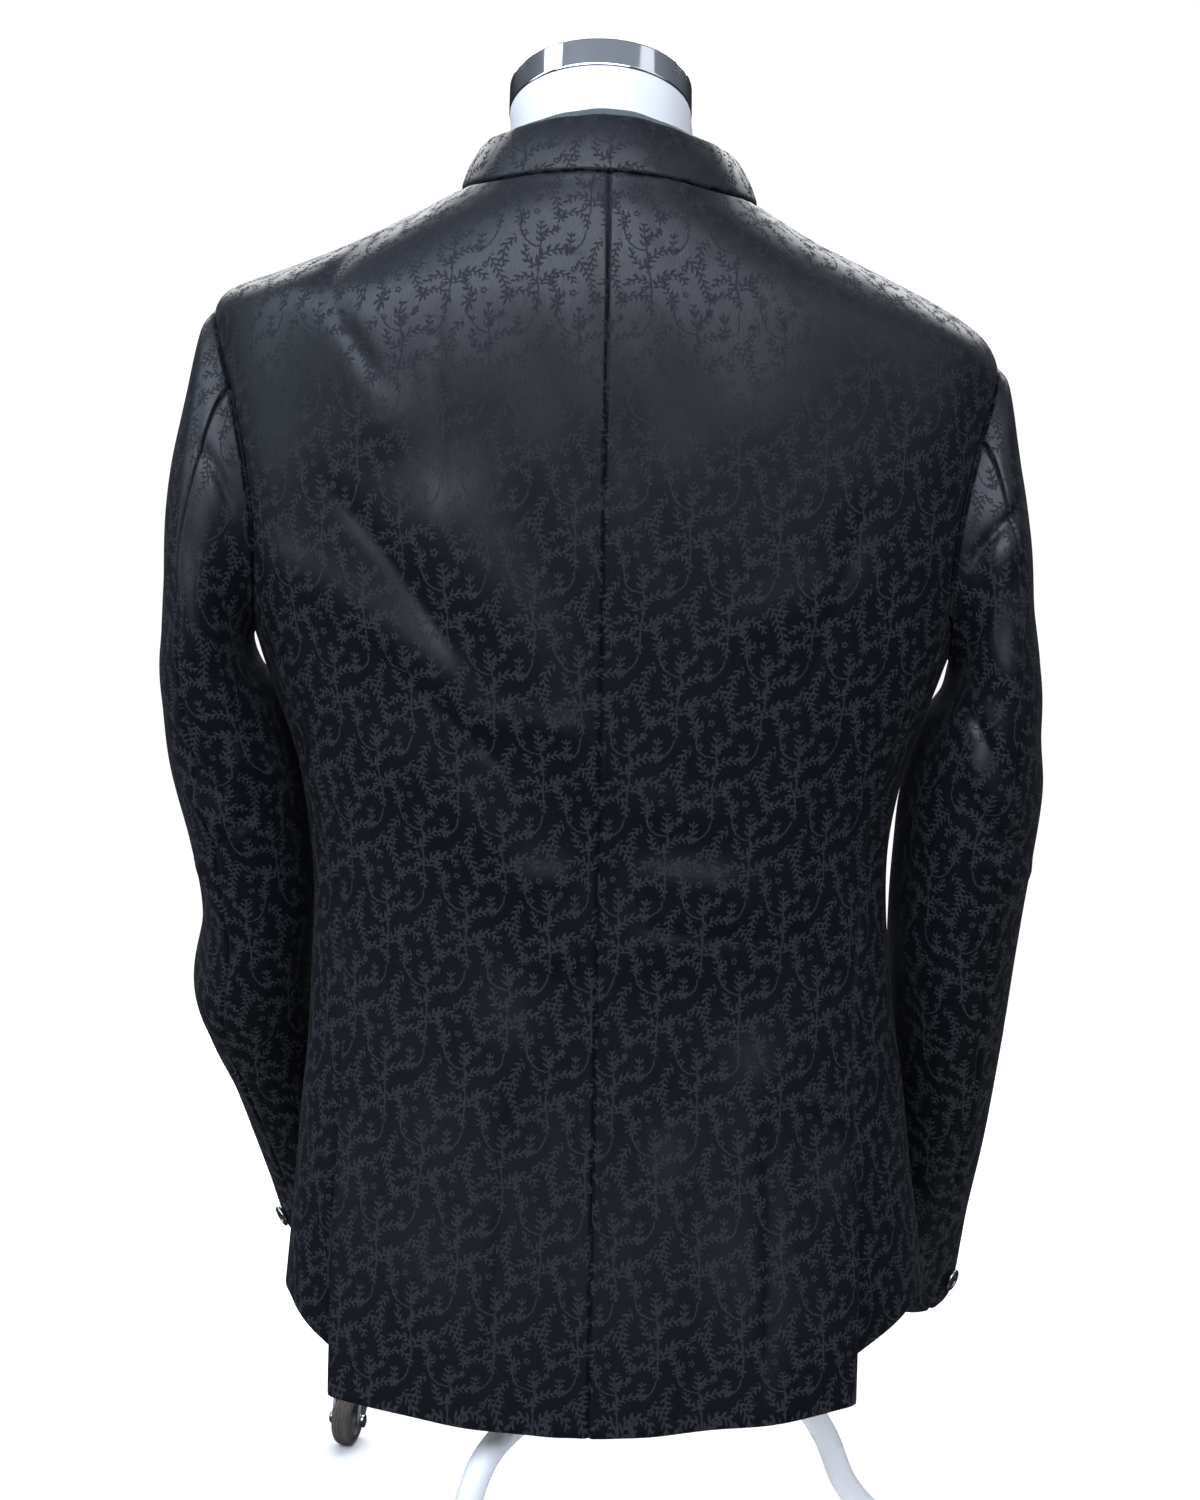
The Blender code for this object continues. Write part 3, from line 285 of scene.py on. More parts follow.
leafyLine = makeGroup("leafyLine", {
    "Along": 0.0, "Across": 0.0, "From": 0.0, "To": 10.0, "Spacing": 4.0, "Leaf Length": 4.6,
    "Leaf Width": 1.5, "Line Width": 1.0, "Stagger": 0.5}, ["Distance"], buildLeafyLine)
arcCoordinates = makeGroup("arcCoordinates", {
    "X": 0.0, "Y": 0.0, "Centre X": 0.0, "Centre Y": 0.0, "Radius": 10.0, "Start": 0.0, "Way": 1.0},
    ["Along", "Across"], buildArcCoordinates)
rosette = makeGroup("rosette", {"X": 0.0, "Y": 0.0, "Radius": 2.7, "Petals": 5.0, "Cut": 0.2, "Eye": 0.32},
                    ["Distance"], buildRosette)
repeatCell = makeGroup("repeatCell", {"X": 0.0, "Y": 0.0, "At X": 0.0, "At Y": 0.0, "Across": 52.0,
                                      "Up": 50.0}, ["X", "Y"], buildRepeatCell)

# the vine's repeat, drawn in millimetres; each row is moved across by half a repeat from the row below it
vine = {"across": 52.0, "up": 50.0, "line": 0.9, "leafWidth": 1.5, "spacing": 4.0, "star": 4.6, "flower": 2.4,
        "soft": 0.16}
# stems that run straight up: place across, start, end, leaf length (1 is a bare stem)
uprights = [(0.6, -39.3, 1.0, 1.0), (-0.4, 1.0, 14.5, 5.0), (16.5, -2.5, 9.5, 4.2)]
# curved branches: centre across and up, radius, start in degrees, way round, length, leaf length
branches = [
    (11.5, 9.5, 14.0, -75.0, 1.0, 18.5, 1.0),         # loop on the right
    (12.5, -15.0, 13.2, 170.0, -1.0, 25.0, 4.6),      # leaves over to the loop
    (-5.1, -35.9, 40.0, 45.3, -1.0, 26.0, 4.8),       # from there down to a star
    (0.0, 11.5, 13.0, -90.0, -1.0, 23.0, 1.0),        # left side of the bowl
    (0.0, -3.5, 8.5, -90.0, -1.0, 16.0, 4.2),         # low left
    (17.5, 12.5, 8.8, 145.0, -1.0, 23.0, 4.2),        # from the star over the loop
    (13.0, -26.0, 10.0, 175.0, -1.0, 27.0, 4.4),      # low right
    (-7.0, -25.0, 7.0, 0.0, 1.0, 20.0, 4.2),          # curl left of the stalk
    (9.0, 0.5, 8.5, 175.0, -1.0, 13.0, 3.8),          # beside the sprig
    (-8.0, 27.5, 9.0, -95.0, -1.0, 20.0, 4.4),        # above the other star
    (-10.0, -6.0, 11.0, 115.0, 1.0, 20.0, 4.6),       # outside the bowl
]
stars = [(9.5, 18.2), (-13.3, 15.5)]
flowers = [(-4.5, 20.5), (-10.5, 6.5), (22.5, 25.0), (21.0, -12.5), (8.0, 10.5), (-17.0, 27.0)]


def buildVinePattern(vector, wander):
    tree = vector.tree
    metres = vectorNode(tree, "SCALE", {0: vector, "Scale": 1000.0})
    noise = placeNode(tree, "ShaderNodeTexNoise", {"Vector": metres, "Scale": 0.05, "Detail": 1.0})
    shift = vectorNode(tree, "SUBTRACT", {0: noise.outputs["Color"], 1: (0.5, 0.5, 0.5)})
    shift = vectorNode(tree, "SCALE", {0: shift, "Scale": wander})
    moved = vectorNode(tree, "ADD", {0: metres, 1: shift})
    split = placeNode(tree, "ShaderNodeSeparateXYZ", {0: moved}).outputs

    def cell(atX, atY):
        return useGroup(tree, repeatCell, X=split["X"], Y=split["Y"], At_X=atX, At_Y=atY,
                        Across=vine["across"], Up=vine["up"])

    def stem(along, across, start, end, leaf, stagger):
        return useGroup(tree, leafyLine, Along=along, Across=across, From=start, To=end,
                        Spacing=vine["spacing"], Leaf_Length=leaf, Leaf_Width=vine["leafWidth"],
                        Line_Width=vine["line"], Stagger=stagger)

    def flower(atX, atY, **sizes):
        x, y = cell(atX, atY)
        return useGroup(tree, rosette, X=x, Y=y, **sizes)

    shapes = []
    for at, start, end, leaf in uprights:
        x, y = cell(at, (start + end) / 2.0)
        shapes += stem(y, x, (start - end) / 2.0, (end - start) / 2.0, leaf, 0.0)
    for centreX, centreY, radius, start, way, length, leaf in branches:
        middle = math.radians(start) + way * length / radius / 2.0
        reachX, reachY = radius * math.cos(middle), radius * math.sin(middle)
        x, y = cell(centreX + reachX, centreY + reachY)
        along, across = useGroup(tree, arcCoordinates, X=x, Y=y, Centre_X=-reachX, Centre_Y=-reachY,
                                 Radius=radius, Start=math.radians(start), Way=way)
        shapes += stem(along, across, 0.0, length, leaf, 0.5)
    for place in stars:
        shapes += flower(*place, Radius=vine["star"], Petals=7.0, Cut=0.42, Eye=0.0)
    for place in flowers:
        shapes += flower(*place, Radius=vine["flower"])
    nearest = shapes[0]
    for shape in shapes[1:]:
        nearest = nearest.math("MINIMUM", shape)
    edge = {"Value": nearest, "From Min": vine["soft"], "From Max": -vine["soft"]}
    mask = placeNode(tree, "ShaderNodeMapRange", edge, interpolation_type="SMOOTHSTEP")
    return [mask.outputs["Result"]]


def buildWeave(vector, thread, slant):
    # threads over and under on a slant, in millimetres on the cloth's own map
    tree = vector.tree
    split = placeNode(tree, "ShaderNodeSeparateXYZ", {0: vector}).outputs
    turns = Value(tree, 2.0 * math.pi * 1000.0) / thread
    x, y = Value(tree, split["X"]) * turns, Value(tree, split["Y"]) * turns
    height = (y * slant + x).math("SINE") + y.math("SINE") * 0.35
    stretch = vectorNode(tree, "MULTIPLY", {0: vector, 1: (1400.0, 160.0, 1.0)})
    slub = placeNode(tree, "ShaderNodeTexNoise", {"Vector": stretch, "Scale": 1.0, "Detail": 3.0})
    return [height, slub.outputs["Fac"]]


def buildMottle(vector, patch, speck):
    # soft patches and fine specks for paint, plastic, rubber and metal
    noises = []
    for size, detail in ((patch, 4.0), (speck, 2.0)):
        inputs = {"Vector": vector, "Scale": size, "Detail": detail}
        noises.append(placeNode(vector.tree, "ShaderNodeTexNoise", inputs).outputs["Fac"])
    return noises


vinePattern = makeGroup("vinePattern", {"Vector": None, "Wander": 1.0}, ["Pattern"], buildVinePattern)
weave = makeGroup("weave", {"Vector": None, "Thread": 0.4, "Slant": 0.5}, ["Height", "Slub"], buildWeave)
mottle = makeGroup("mottle", {"Vector": None, "Patch": 30.0, "Speck": 900.0}, ["Patches", "Specks"],
                   buildMottle)


# materials

def newMaterial(name, build, **constants):
    # build gives what feeds the shader's sockets, by name
    material = bpy.data.materials.new(name)
    material.use_nodes = True
    tree = material.node_tree
    shader = tree.nodes["Principled BSDF"]
    for key, value in constants.items():
        shader.inputs[key.replace("_", " ")].default_value = value
    for key, value in build(tree).items():
        plug(tree, shader.inputs[key], value)
    layOut(tree)
    return material


def blendColour(tree, share, first, second):
    mix = placeNode(tree, "ShaderNodeMix", data_type="RGBA")
    for place, value in ((0, share), (6, (*first, 1.0)), (7, (*second, 1.0))):
        plug(tree, mix.inputs[place], value)
    return mix.outputs[2]


def bumped(tree, height, strength, distance):
    values = {"Height": height, "Strength": strength, "Distance": distance}
    return placeNode(tree, "ShaderNodeBump", values).outputs[0]


def clothMap(tree):
    return placeNode(tree, "ShaderNodeUVMap", uv_map="cut").outputs[0]


def objectPlace(tree):
    return placeNode(tree, "ShaderNodeTexCoord").outputs["Object"]


jacketCloth = {"ground": (0.0026, 0.0030, 0.0048), "figure": (0.0235, 0.0243, 0.0270), "groundRough": 0.60,
               "figureRough": 0.90, "groundGloss": 0.62, "figureGloss": 0.02, "thread": 0.42, "slant": 0.4,
               "wander": 5.0, "relief": 0.00008}


def makeJacketCloth(values):
    # satin ground that catches light from above, and a dull figure woven into it
    def build(tree):
        cloth = clothMap(tree)
        figure = useGroup(tree, vinePattern, Vector=cloth, Wander=values["wander"])[0]
        height, slub = useGroup(tree, weave, Vector=cloth, Thread=values["thread"], Slant=values["slant"])
        colour = blendColour(tree, figure, values["ground"], values["figure"])
        gloss = between(tree, figure, values["groundGloss"], values["figureGloss"])
        shade = between(tree, slub, 0.75, 1.25, 0.3, 0.7)
        return {
            "Base Color": vectorNode(tree, "SCALE", {0: colour, "Scale": shade}),
            "Roughness": between(tree, figure, values["groundRough"], values["figureRough"]),
            "Coat Weight": gloss * between(tree, slub, 0.8, 1.1, 0.3, 0.7),
            "Normal": bumped(tree, height * 0.25 + figure, 0.5, values["relief"]),
        }
    return newMaterial("jacketJacquard", build, Coat_Roughness=0.42, Coat_IOR=1.6, Sheen_Weight=0.015,
                       Sheen_Roughness=0.5, Coat_Tint=(0.70, 0.80, 1.0, 1.0), Specular_IOR_Level=0.03)


def makeWovenCloth(name, colour, thread, rough=0.8, sheen=0.15):
    def build(tree):
        height, slub = useGroup(tree, weave, Vector=clothMap(tree), Thread=thread, Slant=1.0)
        # the slub's streaks are the thread's own tone; the low places of the weave are darker, painted shade
        # between the threads
        toneAndHollowShade = between(tree, slub, 0.8, 1.2, 0.3, 0.7) * between(tree, height, 0.85, 1.1, -1.0, 1.0)
        return {
            "Base Color": vectorNode(tree, "SCALE", {0: colour, "Scale": toneAndHollowShade}),
            "Roughness": between(tree, slub, rough - 0.08, rough + 0.08),
            "Normal": bumped(tree, height, 0.5, 0.00008),
        }
    return newMaterial(name, build, Sheen_Weight=sheen, Sheen_Roughness=0.5, Specular_IOR_Level=0.3)


def makeSolid(name, colour, other, rough, spread=0.08, patch=30.0, speck=900.0, grain=0.00002,
              stretch=(1.0, 1.0, 1.0), **constants):
    # paint, plastic, rubber and metal share one recipe: two near colours, uneven gloss and a fine grain
    def build(tree):
        stretched = {"Vector": objectPlace(tree), "Scale": stretch}
        place = placeNode(tree, "ShaderNodeMapping", stretched).outputs[0]
        patches, specks = useGroup(tree, mottle, Vector=place, Patch=patch, Speck=speck)
        return {
            "Base Color": blendColour(tree, between(tree, patches, 0.0, 1.0, 0.35, 0.65), colour, other),
            "Roughness": between(tree, patches, rough - spread, rough + spread, 0.3, 0.7),
            "Normal": bumped(tree, specks, 0.4, grain),
        }
    return newMaterial(name, build, **constants)


def makeTyreRubber():
    # the tread has gone brown where it rolls
    def build(tree):
        patches, specks = useGroup(tree, mottle, Vector=objectPlace(tree), Patch=160.0, Speck=2200.0)
        worn = Value(tree, placeNode(tree, "ShaderNodeAttribute", attribute_name="tread").outputs["Fac"])
        worn = worn.math("MULTIPLY", between(tree, patches, 0.35, 1.0, 0.35, 0.6), clamp=True)
        return {
            "Base Color": blendColour(tree, worn, (0.045, 0.045, 0.047), (0.085, 0.066, 0.052)),
            "Roughness": between(tree, patches, 0.6, 0.85, 0.3, 0.7),
            "Normal": bumped(tree, specks, 0.5, 0.00006),
        }
    return newMaterial("tyreRubber", build)


materials = {
    "jacket": makeJacketCloth(jacketCloth),
    "waistcoat": makeWovenCloth("waistcoatTwill", (0.085, 0.100, 0.096), 0.5),
    "thread": makeWovenCloth("sewingThread", (0.020, 0.022, 0.027), 0.25, rough=0.6),
    "formWhite": makeSolid("formWhite", (0.80, 0.80, 0.79), (0.84, 0.84, 0.83), 0.34, patch=8.0, speck=260.0,
                           grain=0.00004),
    "chrome": makeSolid("capChrome", (0.80, 0.81, 0.83), (0.76, 0.77, 0.79), 0.07, spread=0.025, patch=25.0,
                        speck=1500.0, grain=0.000002, Metallic=1.0),
    "standWhite": makeSolid("standPaint", (0.78, 0.78, 0.77), (0.83, 0.83, 0.82), 0.32, patch=22.0,
                            speck=500.0, grain=0.00003),
    "socketTan": makeSolid("socketTan", (0.42, 0.29, 0.19), (0.50, 0.35, 0.23), 0.5, patch=120.0,
                           speck=1600.0),
    "forkSteel": makeSolid("forkSteel", (0.36, 0.39, 0.37), (0.46, 0.48, 0.46), 0.36, patch=140.0,
                           speck=2400.0, stretch=(1.0, 1.0, 0.15), Metallic=0.9),
    "tyreRubber": makeTyreRubber(),
    "rimGrey": makeSolid("rimGrey", (0.085, 0.090, 0.095), (0.115, 0.120, 0.125), 0.5, patch=180.0,
                         speck=1800.0),
    "axleZinc": makeSolid("axleZinc", (0.72, 0.73, 0.75), (0.62, 0.63, 0.66), 0.22, patch=260.0, speck=2600.0,
                          Metallic=1.0),
    "buttonDark": makeSolid("buttonDark", (0.012, 0.012, 0.014), (0.020, 0.020, 0.023), 0.22, patch=150.0,
                            speck=1600.0, grain=0.00001, Coat_Weight=0.4),
    "buttonRim": makeSolid("buttonRim", (0.60, 0.61, 0.63), (0.48, 0.49, 0.51), 0.25, patch=260.0,
                           speck=2000.0, Metallic=1.0),
    "floor": makeSolid("floorPale", (0.86, 0.86, 0.86), (0.88, 0.88, 0.88), 0.7, patch=1.0, speck=60.0),
}
print("materials made:", len(materials))


# cloth surfaces, the same ones the solids are cut from

# level rows from hem to neck seam: side height, half width, side place, back, front, rise at the back and
# front, squareness, lean, sway, turn of the back and front side seams
levels = np.array([
    (0.258, 0.211, -0.004, 0.100, -0.136, 0.000, -0.004, 2.50, 0.000, -0.009, 65.5, 112.0),
    (0.335, 0.203, -0.003, 0.103, -0.134, 0.000, 0.000, 2.45, 0.000, -0.008, 66.5, 111.0),
    (0.420, 0.193, -0.002, 0.102, -0.128, 0.000, 0.000, 2.35, 0.000, -0.005, 68.0, 110.0),
    (0.510, 0.184, 0.000, 0.099, -0.121, 0.000, 0.000, 2.30, 0.000, -0.002, 71.0, 108.0),
    (0.600, 0.189, 0.000, 0.110, -0.129, 0.000, 0.000, 2.30, 0.002, 0.000, 72.0, 107.0),
    (0.685, 0.222, 0.000, 0.121, -0.137, 0.000, 0.000, 2.30, 0.006, 0.000, 75.5, 105.0),
    (0.755, 0.232, 0.000, 0.126, -0.137, 0.003, -0.010, 2.40, 0.009, 0.000, 78.0, 102.0),
    (0.825, 0.241, 0.001, 0.126, -0.131, 0.008, -0.028, 2.20, 0.013, 0.000, 80.0, 100.0),
    (0.8780, 0.2470, 0.003, 0.123, -0.120, 0.010, -0.046, 1.90, 0.0145, 0.000, 80.0, 100.0),
    (0.8975, 0.2200, 0.006, 0.120, -0.112, 0.009, -0.053, 1.92, 0.0085, 0.000, 80.0, 100.0),
    (0.9165, 0.1760, 0.009, 0.116, -0.101, 0.009, -0.058, 1.95, 0.0055, 0.000, 80.0, 100.0),
    (0.9380, 0.1290, 0.012, 0.109, -0.086, 0.010, -0.058, 1.98, 0.0050, 0.000, 80.0, 100.0),
    (0.9590, 0.0905, 0.016, 0.097, -0.068, 0.011, -0.056, 2.00, 0.0035, 0.000, 80.0, 100.0),
])
neckLevel = 12.0
jacket = {"wall": 0.0020, "underarm": 5.0, "tip": 8.0, "join": 135.0, "backCut": 14.0, "backCutLow": 6.0,
          "frontCut": 19.0, "overlap": 8.0, "lapDip": 0.15, "vent": 2.2, "kick": 0.035, "dropCentre": 0.052,
          "dropCorner": 0.036, "sideDrop": 0.022, "layerGap": 0.0004, "looseGap": 0.0080, "frontGap": 0.0050,
          "neckGap": 0.0010, "yokeStart": 9.9}
waistcoat = {"wall": 0.0015, "hem": 1.6, "underarm": 4.6, "tip": 9.7, "backCut": 22.0, "frontCut": 30.0}
# the large folds: turn and height at one end, the same at the other, half width, how far they stand out
largeFolds = [
    (38.0, 0.76, 6.0, 0.62, 0.030, 0.0050),
    (48.0, 0.62, 10.0, 0.52, 0.026, 0.0045),
    (-12.0, 0.51, -44.0, 0.53, 0.028, 0.0040),
    (-48.0, 0.42, -50.0, 0.27, 0.030, 0.0060),
    (30.0, 0.44, 38.0, 0.27, 0.034, 0.0040),
    (128.0, 0.68, 160.0, 0.55, 0.028, 0.0050),
    (-126.0, 0.66, -162.0, 0.54, 0.028, 0.0045),
]
perDegree = 0.0033   # metres of cloth round the body for a degree


def smoothStep(value):
    t = np.clip(value, 0.0, 1.0)
    return t * t * (3.0 - 2.0 * t)


def readTable(rows, place):
    # a smooth curve through all the rows of a table
    place = np.clip(np.asarray(place, float), 0.0, len(rows) - 1)
    low = np.minimum(place.astype(int), len(rows) - 2)
    t = (place - low).reshape(place.shape + (1,) * (rows.ndim - 1))
    before, start = rows[np.maximum(low - 1, 0)], rows[low]
    end, after = rows[low + 1], rows[np.minimum(low + 2, len(rows) - 1)]
    return ((2 * t**3 - 3 * t**2 + 1) * start + (t**3 - 2 * t**2 + t) * (end - before) / 2
            + (3 * t**2 - 2 * t**3) * end + (t**3 - t**2) * (after - start) / 2)


def unit(vectors):
    return vectors / np.maximum(np.linalg.norm(vectors, axis=-1, keepdims=True), 1e-12)


def shellPoint(level, turn):
    level, turn = np.broadcast_arrays(np.asarray(level, float), np.asarray(turn, float))
    row = np.moveaxis(readTable(levels, level), -1, 0)
    sideZ, halfWidth, sideY, backY, frontY, riseBack, riseFront, square, lean, sway = row[:10]
    s, c = np.sin(np.radians(turn)), np.cos(np.radians(turn))
    depth = np.where(c >= 0.0, backY - sideY, sideY - frontY)
    rise = np.where(c >= 0.0, riseBack, riseFront)
    reach = ((np.abs(s) / halfWidth) ** square + (np.abs(c) / depth) ** square) ** (-1.0 / square)
    x = reach * s
    return np.stack([x + sway * s**16, sideY + reach * c, sideZ + rise * c * c + lean * x / halfWidth], -1)


def bodyPoint(level, turn):
    # cloth bridges the table's rows in one even curve
    level = np.asarray(level, float)
    ease = 0.55 * smoothStep(level) * smoothStep((11.6 - level) / 1.5)
    beside = shellPoint(level - ease, turn) + shellPoint(level + ease, turn)
    return 0.5 * shellPoint(level, turn) + 0.25 * beside


def surfaceNormal(pointAt, u, v, du, dv, top):
    along = pointAt(np.minimum(u + du, top), v) - pointAt(u - du, v)
    around = pointAt(u, v + dv) - pointAt(u, v - dv)
    return unit(np.cross(around, along))


def bodyNormal(level, turn):
    return surfaceNormal(bodyPoint, np.maximum(level, 0.05), turn, 0.05, -1.0, neckLevel)


def strokeHeight(x, y, strokes):
    # folds drawn as strokes (x, y, x, y, half width, height, bend, kind); the ends fade out
    height = np.zeros(np.broadcast(x, y).shape)
    for ax, ay, bx, by, halfWidth, depth, bend, kind in strokes:
        dx, dy = bx - ax, by - ay
        length = math.hypot(dx, dy)
        t = ((x - ax) * dx + (y - ay) * dy) / length**2
        off = ((x - ax) * dy - (y - ay) * dx) / length - bend * 4.0 * t * (1.0 - t)
        fade = smoothStep(t / 0.3 + 0.15) * smoothStep((1.0 - t) / 0.3 + 0.15)
        near = off / halfWidth
        if kind == "ridge":
            height += depth * fade * np.exp(-near**2)
        elif kind == "crease":      # a sharp valley with a soft swell on each side
            height -= depth * fade * (1.35 * np.exp(-np.abs(near) * 1.6) - 0.5 * np.exp(-(near / 2.2) ** 2))
        else:                       # a step: high on one side of the line, low on the other
            height += depth * fade * 1.6 * near * np.exp(-near**2)
    return height


def inMetres(rows, perX, perY):
    # a table of creases in metres across and up
    return [(a * perX, b * perY, c * perX, d * perY, *rest) for a, b, c, d, *rest in rows]


# small folds and creases of the body: turn and height of both ends, half width, height, bend, kind
bodyCreases = [
    (73.0, 0.925, 50.0, 0.840, 0.010, 0.0030, 0.004, "crease"),      # the left shoulder
    (62.0, 0.905, 48.0, 0.800, 0.016, 0.0028, 0.004, "ridge"),
    (43.0, 0.905, 38.0, 0.755, 0.009, 0.0018, 0.002, "crease"),
    (60.0, 0.790, 36.0, 0.680, 0.012, 0.0040, 0.003, "crease"),      # left armhole to centre back
    (74.0, 0.752, 30.0, 0.645, 0.017, 0.0045, 0.004, "ridge"),
    (40.0, 0.648, 2.0, 0.640, 0.012, 0.0030, 0.003, "ridge"),
    (56.0, 0.700, 24.0, 0.610, 0.010, 0.0030, -0.003, "crease"),
    (30.0, 0.548, 6.0, 0.552, 0.010, 0.0022, 0.001, "ridge"),
    (22.0, 0.505, 4.0, 0.500, 0.008, 0.0018, 0.000, "ridge"),
    (-8.0, 0.552, -46.0, 0.545, 0.012, 0.0032, 0.002, "ridge"),      # across the right waist
    (-12.0, 0.524, -52.0, 0.512, 0.010, 0.0028, -0.002, "crease"),
    (-8.0, 0.600, -40.0, 0.585, 0.014, 0.0020, 0.002, "ridge"),
    (-48.0, 0.665, -57.0, 0.505, 0.008, 0.0026, 0.003, "ridge"),
    (-56.0, 0.413, -68.0, 0.392, 0.005, 0.0022, 0.001, "ridge"),
    (-48.0, 0.410, -48.0, 0.262, 0.013, 0.0050, 0.003, "crease"),    # hanging folds of the skirt
    (-62.0, 0.380, -60.0, 0.262, 0.018, 0.0030, 0.000, "ridge"),
    (-24.0, 0.400, -26.0, 0.262, 0.020, 0.0020, 0.000, "ridge"),
    (26.0, 0.430, 32.0, 0.262, 0.018, 0.0026, 0.003, "crease"),
    (52.0, 0.470, 50.0, 0.270, 0.022, 0.0026, 0.000, "ridge"),
    (-58.0, 0.790, -50.0, 0.660, 0.014, 0.0026, -0.004, "crease"),   # under the right shoulder blade
    (-30.0, 0.700, -62.0, 0.735, 0.018, 0.0022, 0.003, "ridge"),
    (118.0, 0.780, 150.0, 0.660, 0.012, 0.0030, 0.004, "crease"),    # on the chest and the fronts
    (-116.0, 0.770, -148.0, 0.655, 0.012, 0.0030, -0.004, "crease"),
    (138.0, 0.560, 166.0, 0.530, 0.010, 0.0026, 0.002, "crease"),
    (-134.0, 0.556, -160.0, 0.526, 0.010, 0.0026, -0.002, "crease"),
    (140.0, 0.380, 146.0, 0.262, 0.020, 0.0028, 0.000, "ridge"),
    (-138.0, 0.390, -144.0, 0.262, 0.020, 0.0028, 0.000, "ridge"),
]


def clothWander(x, y):
    # cloth is never quite even
    height = 0.00045
    slow = np.sin(47.0 * x + 1.3 * np.sin(31.0 * y)) * np.sin(39.0 * y + 0.7)
    quick = 0.6 * np.sin(83.0 * x - 61.0 * y + 2.0 * np.sin(23.0 * x))
    return height * (slow + quick)


def underGap(level, turn):
    # the room between the jacket and what is under it
    low = smoothStep((jacket["yokeStart"] - level) / 0.8)
    front = smoothStep((np.abs(turn) - 90.0) / 27.0)
    neck = jacket["neckGap"] * smoothStep(level - neckLevel + 1.0)
    return np.maximum(np.maximum(jacket["looseGap"] * low, jacket["frontGap"] * front), neck)


def foldHeight(turn, z):
    turn = (turn + 180.0) % 360.0 - 180.0
    height = np.zeros(turn.shape)
    for turnA, zA, turnB, zB, halfWidth, depth in largeFolds:
        ax, bx = turnA * perDegree, turnB * perDegree
        dx, dz = bx - ax, zB - zA
        t = np.clip(((turn * perDegree - ax) * dx + (z - zA) * dz) / (dx**2 + dz**2), 0.0, 1.0)
        gap = np.hypot(turn * perDegree - ax - t * dx, z - zA - t * dz)
        height += depth * np.exp(-((gap / halfWidth) ** 2))
    return height


def jacketSkin(level, turn, out=0.0):
    base, normal = bodyPoint(level, turn), bodyNormal(level, turn)
    around = (turn + 180.0) % 360.0 - 180.0
    z = base[..., 2]
    small = strokeHeight(around * perDegree, z, inMetres(bodyCreases, perDegree, 1.0))
    small += clothWander(around * perDegree, z)
    middle = smoothStep((172.0 - np.abs(around)) / 14.0)      # the button stand stays flat
    small = np.maximum(small * middle, -0.7 * underGap(level, turn) - 0.0002)
    return base + normal * (out + foldHeight(turn, z) + small)[..., None], normal


def armholeLevel(phi, low=jacket["underarm"], high=jacket["tip"]):
    return low + (high - low) * (1.0 + np.cos(np.radians(phi))) / 2.0


def armholeTurn(phi, backCut=jacket["backCut"], frontCut=jacket["frontCut"]):
    s = np.sin(np.radians(phi))
    cut = np.where(s < 0.0, frontCut, backCut - jacket["backCutLow"] * np.cos(np.radians(phi)))
    return 90.0 - cut * s


def seamTurn(level, column):
    # column 10 is the side seam at the back, 11 at the front; both end on the armhole
    top = armholeLevel(jacket["join"])
    phi = jacket["join"] if column == 10 else 360.0 - jacket["join"]
    miss = armholeTurn(phi) - readTable(levels, top)[column]
    return readTable(levels, level)[..., column] + miss * smoothStep(level - top + 1.0)


def panelPath(front, values=jacket, start=0.0, join=jacket["join"], seam=True):
    # level and edge turn up the side of a back or front panel, evenly spaced over the cloth
    low, high = values["underarm"], values["tip"]
    top = float(armholeLevel(join, low, high))
    lower = np.linspace(start, top, 240)
    phi = np.linspace(join, 0.0, 200)
    over = np.linspace(high, neckLevel, 160)[1:]
    column = 11 if front else 10
    lowEdge = seamTurn(lower, column) if seam else np.full(lower.shape, 90.0)
    levelUp = np.concatenate([lower, armholeLevel(phi[1:], low, high), over])
    hole = armholeTurn(360.0 - phi[1:] if front else phi[1:], values["backCut"], values["frontCut"])
    edge = np.concatenate([lowEdge, hole, np.full(over.shape, 90.0)])
    step = np.zeros(levelUp.shape)
    for line in (bodyPoint(levelUp, edge), bodyPoint(levelUp, 175.0 if front else 0.0)):
        step[1:] = np.maximum(step[1:], np.linalg.norm(np.diff(line, axis=0), axis=1))
    way = np.cumsum(step)
    return way / way[-1], levelUp, edge


# making cloth: a grid over a surface gets a wall, finished edges and a map of the flat cut

def cells(index):
    # the four corners of each cell of a grid
    return index[:-1, :-1].ravel(), index[:-1, 1:].ravel(), index[1:, 1:].ravel(), index[1:, :-1].ravel()


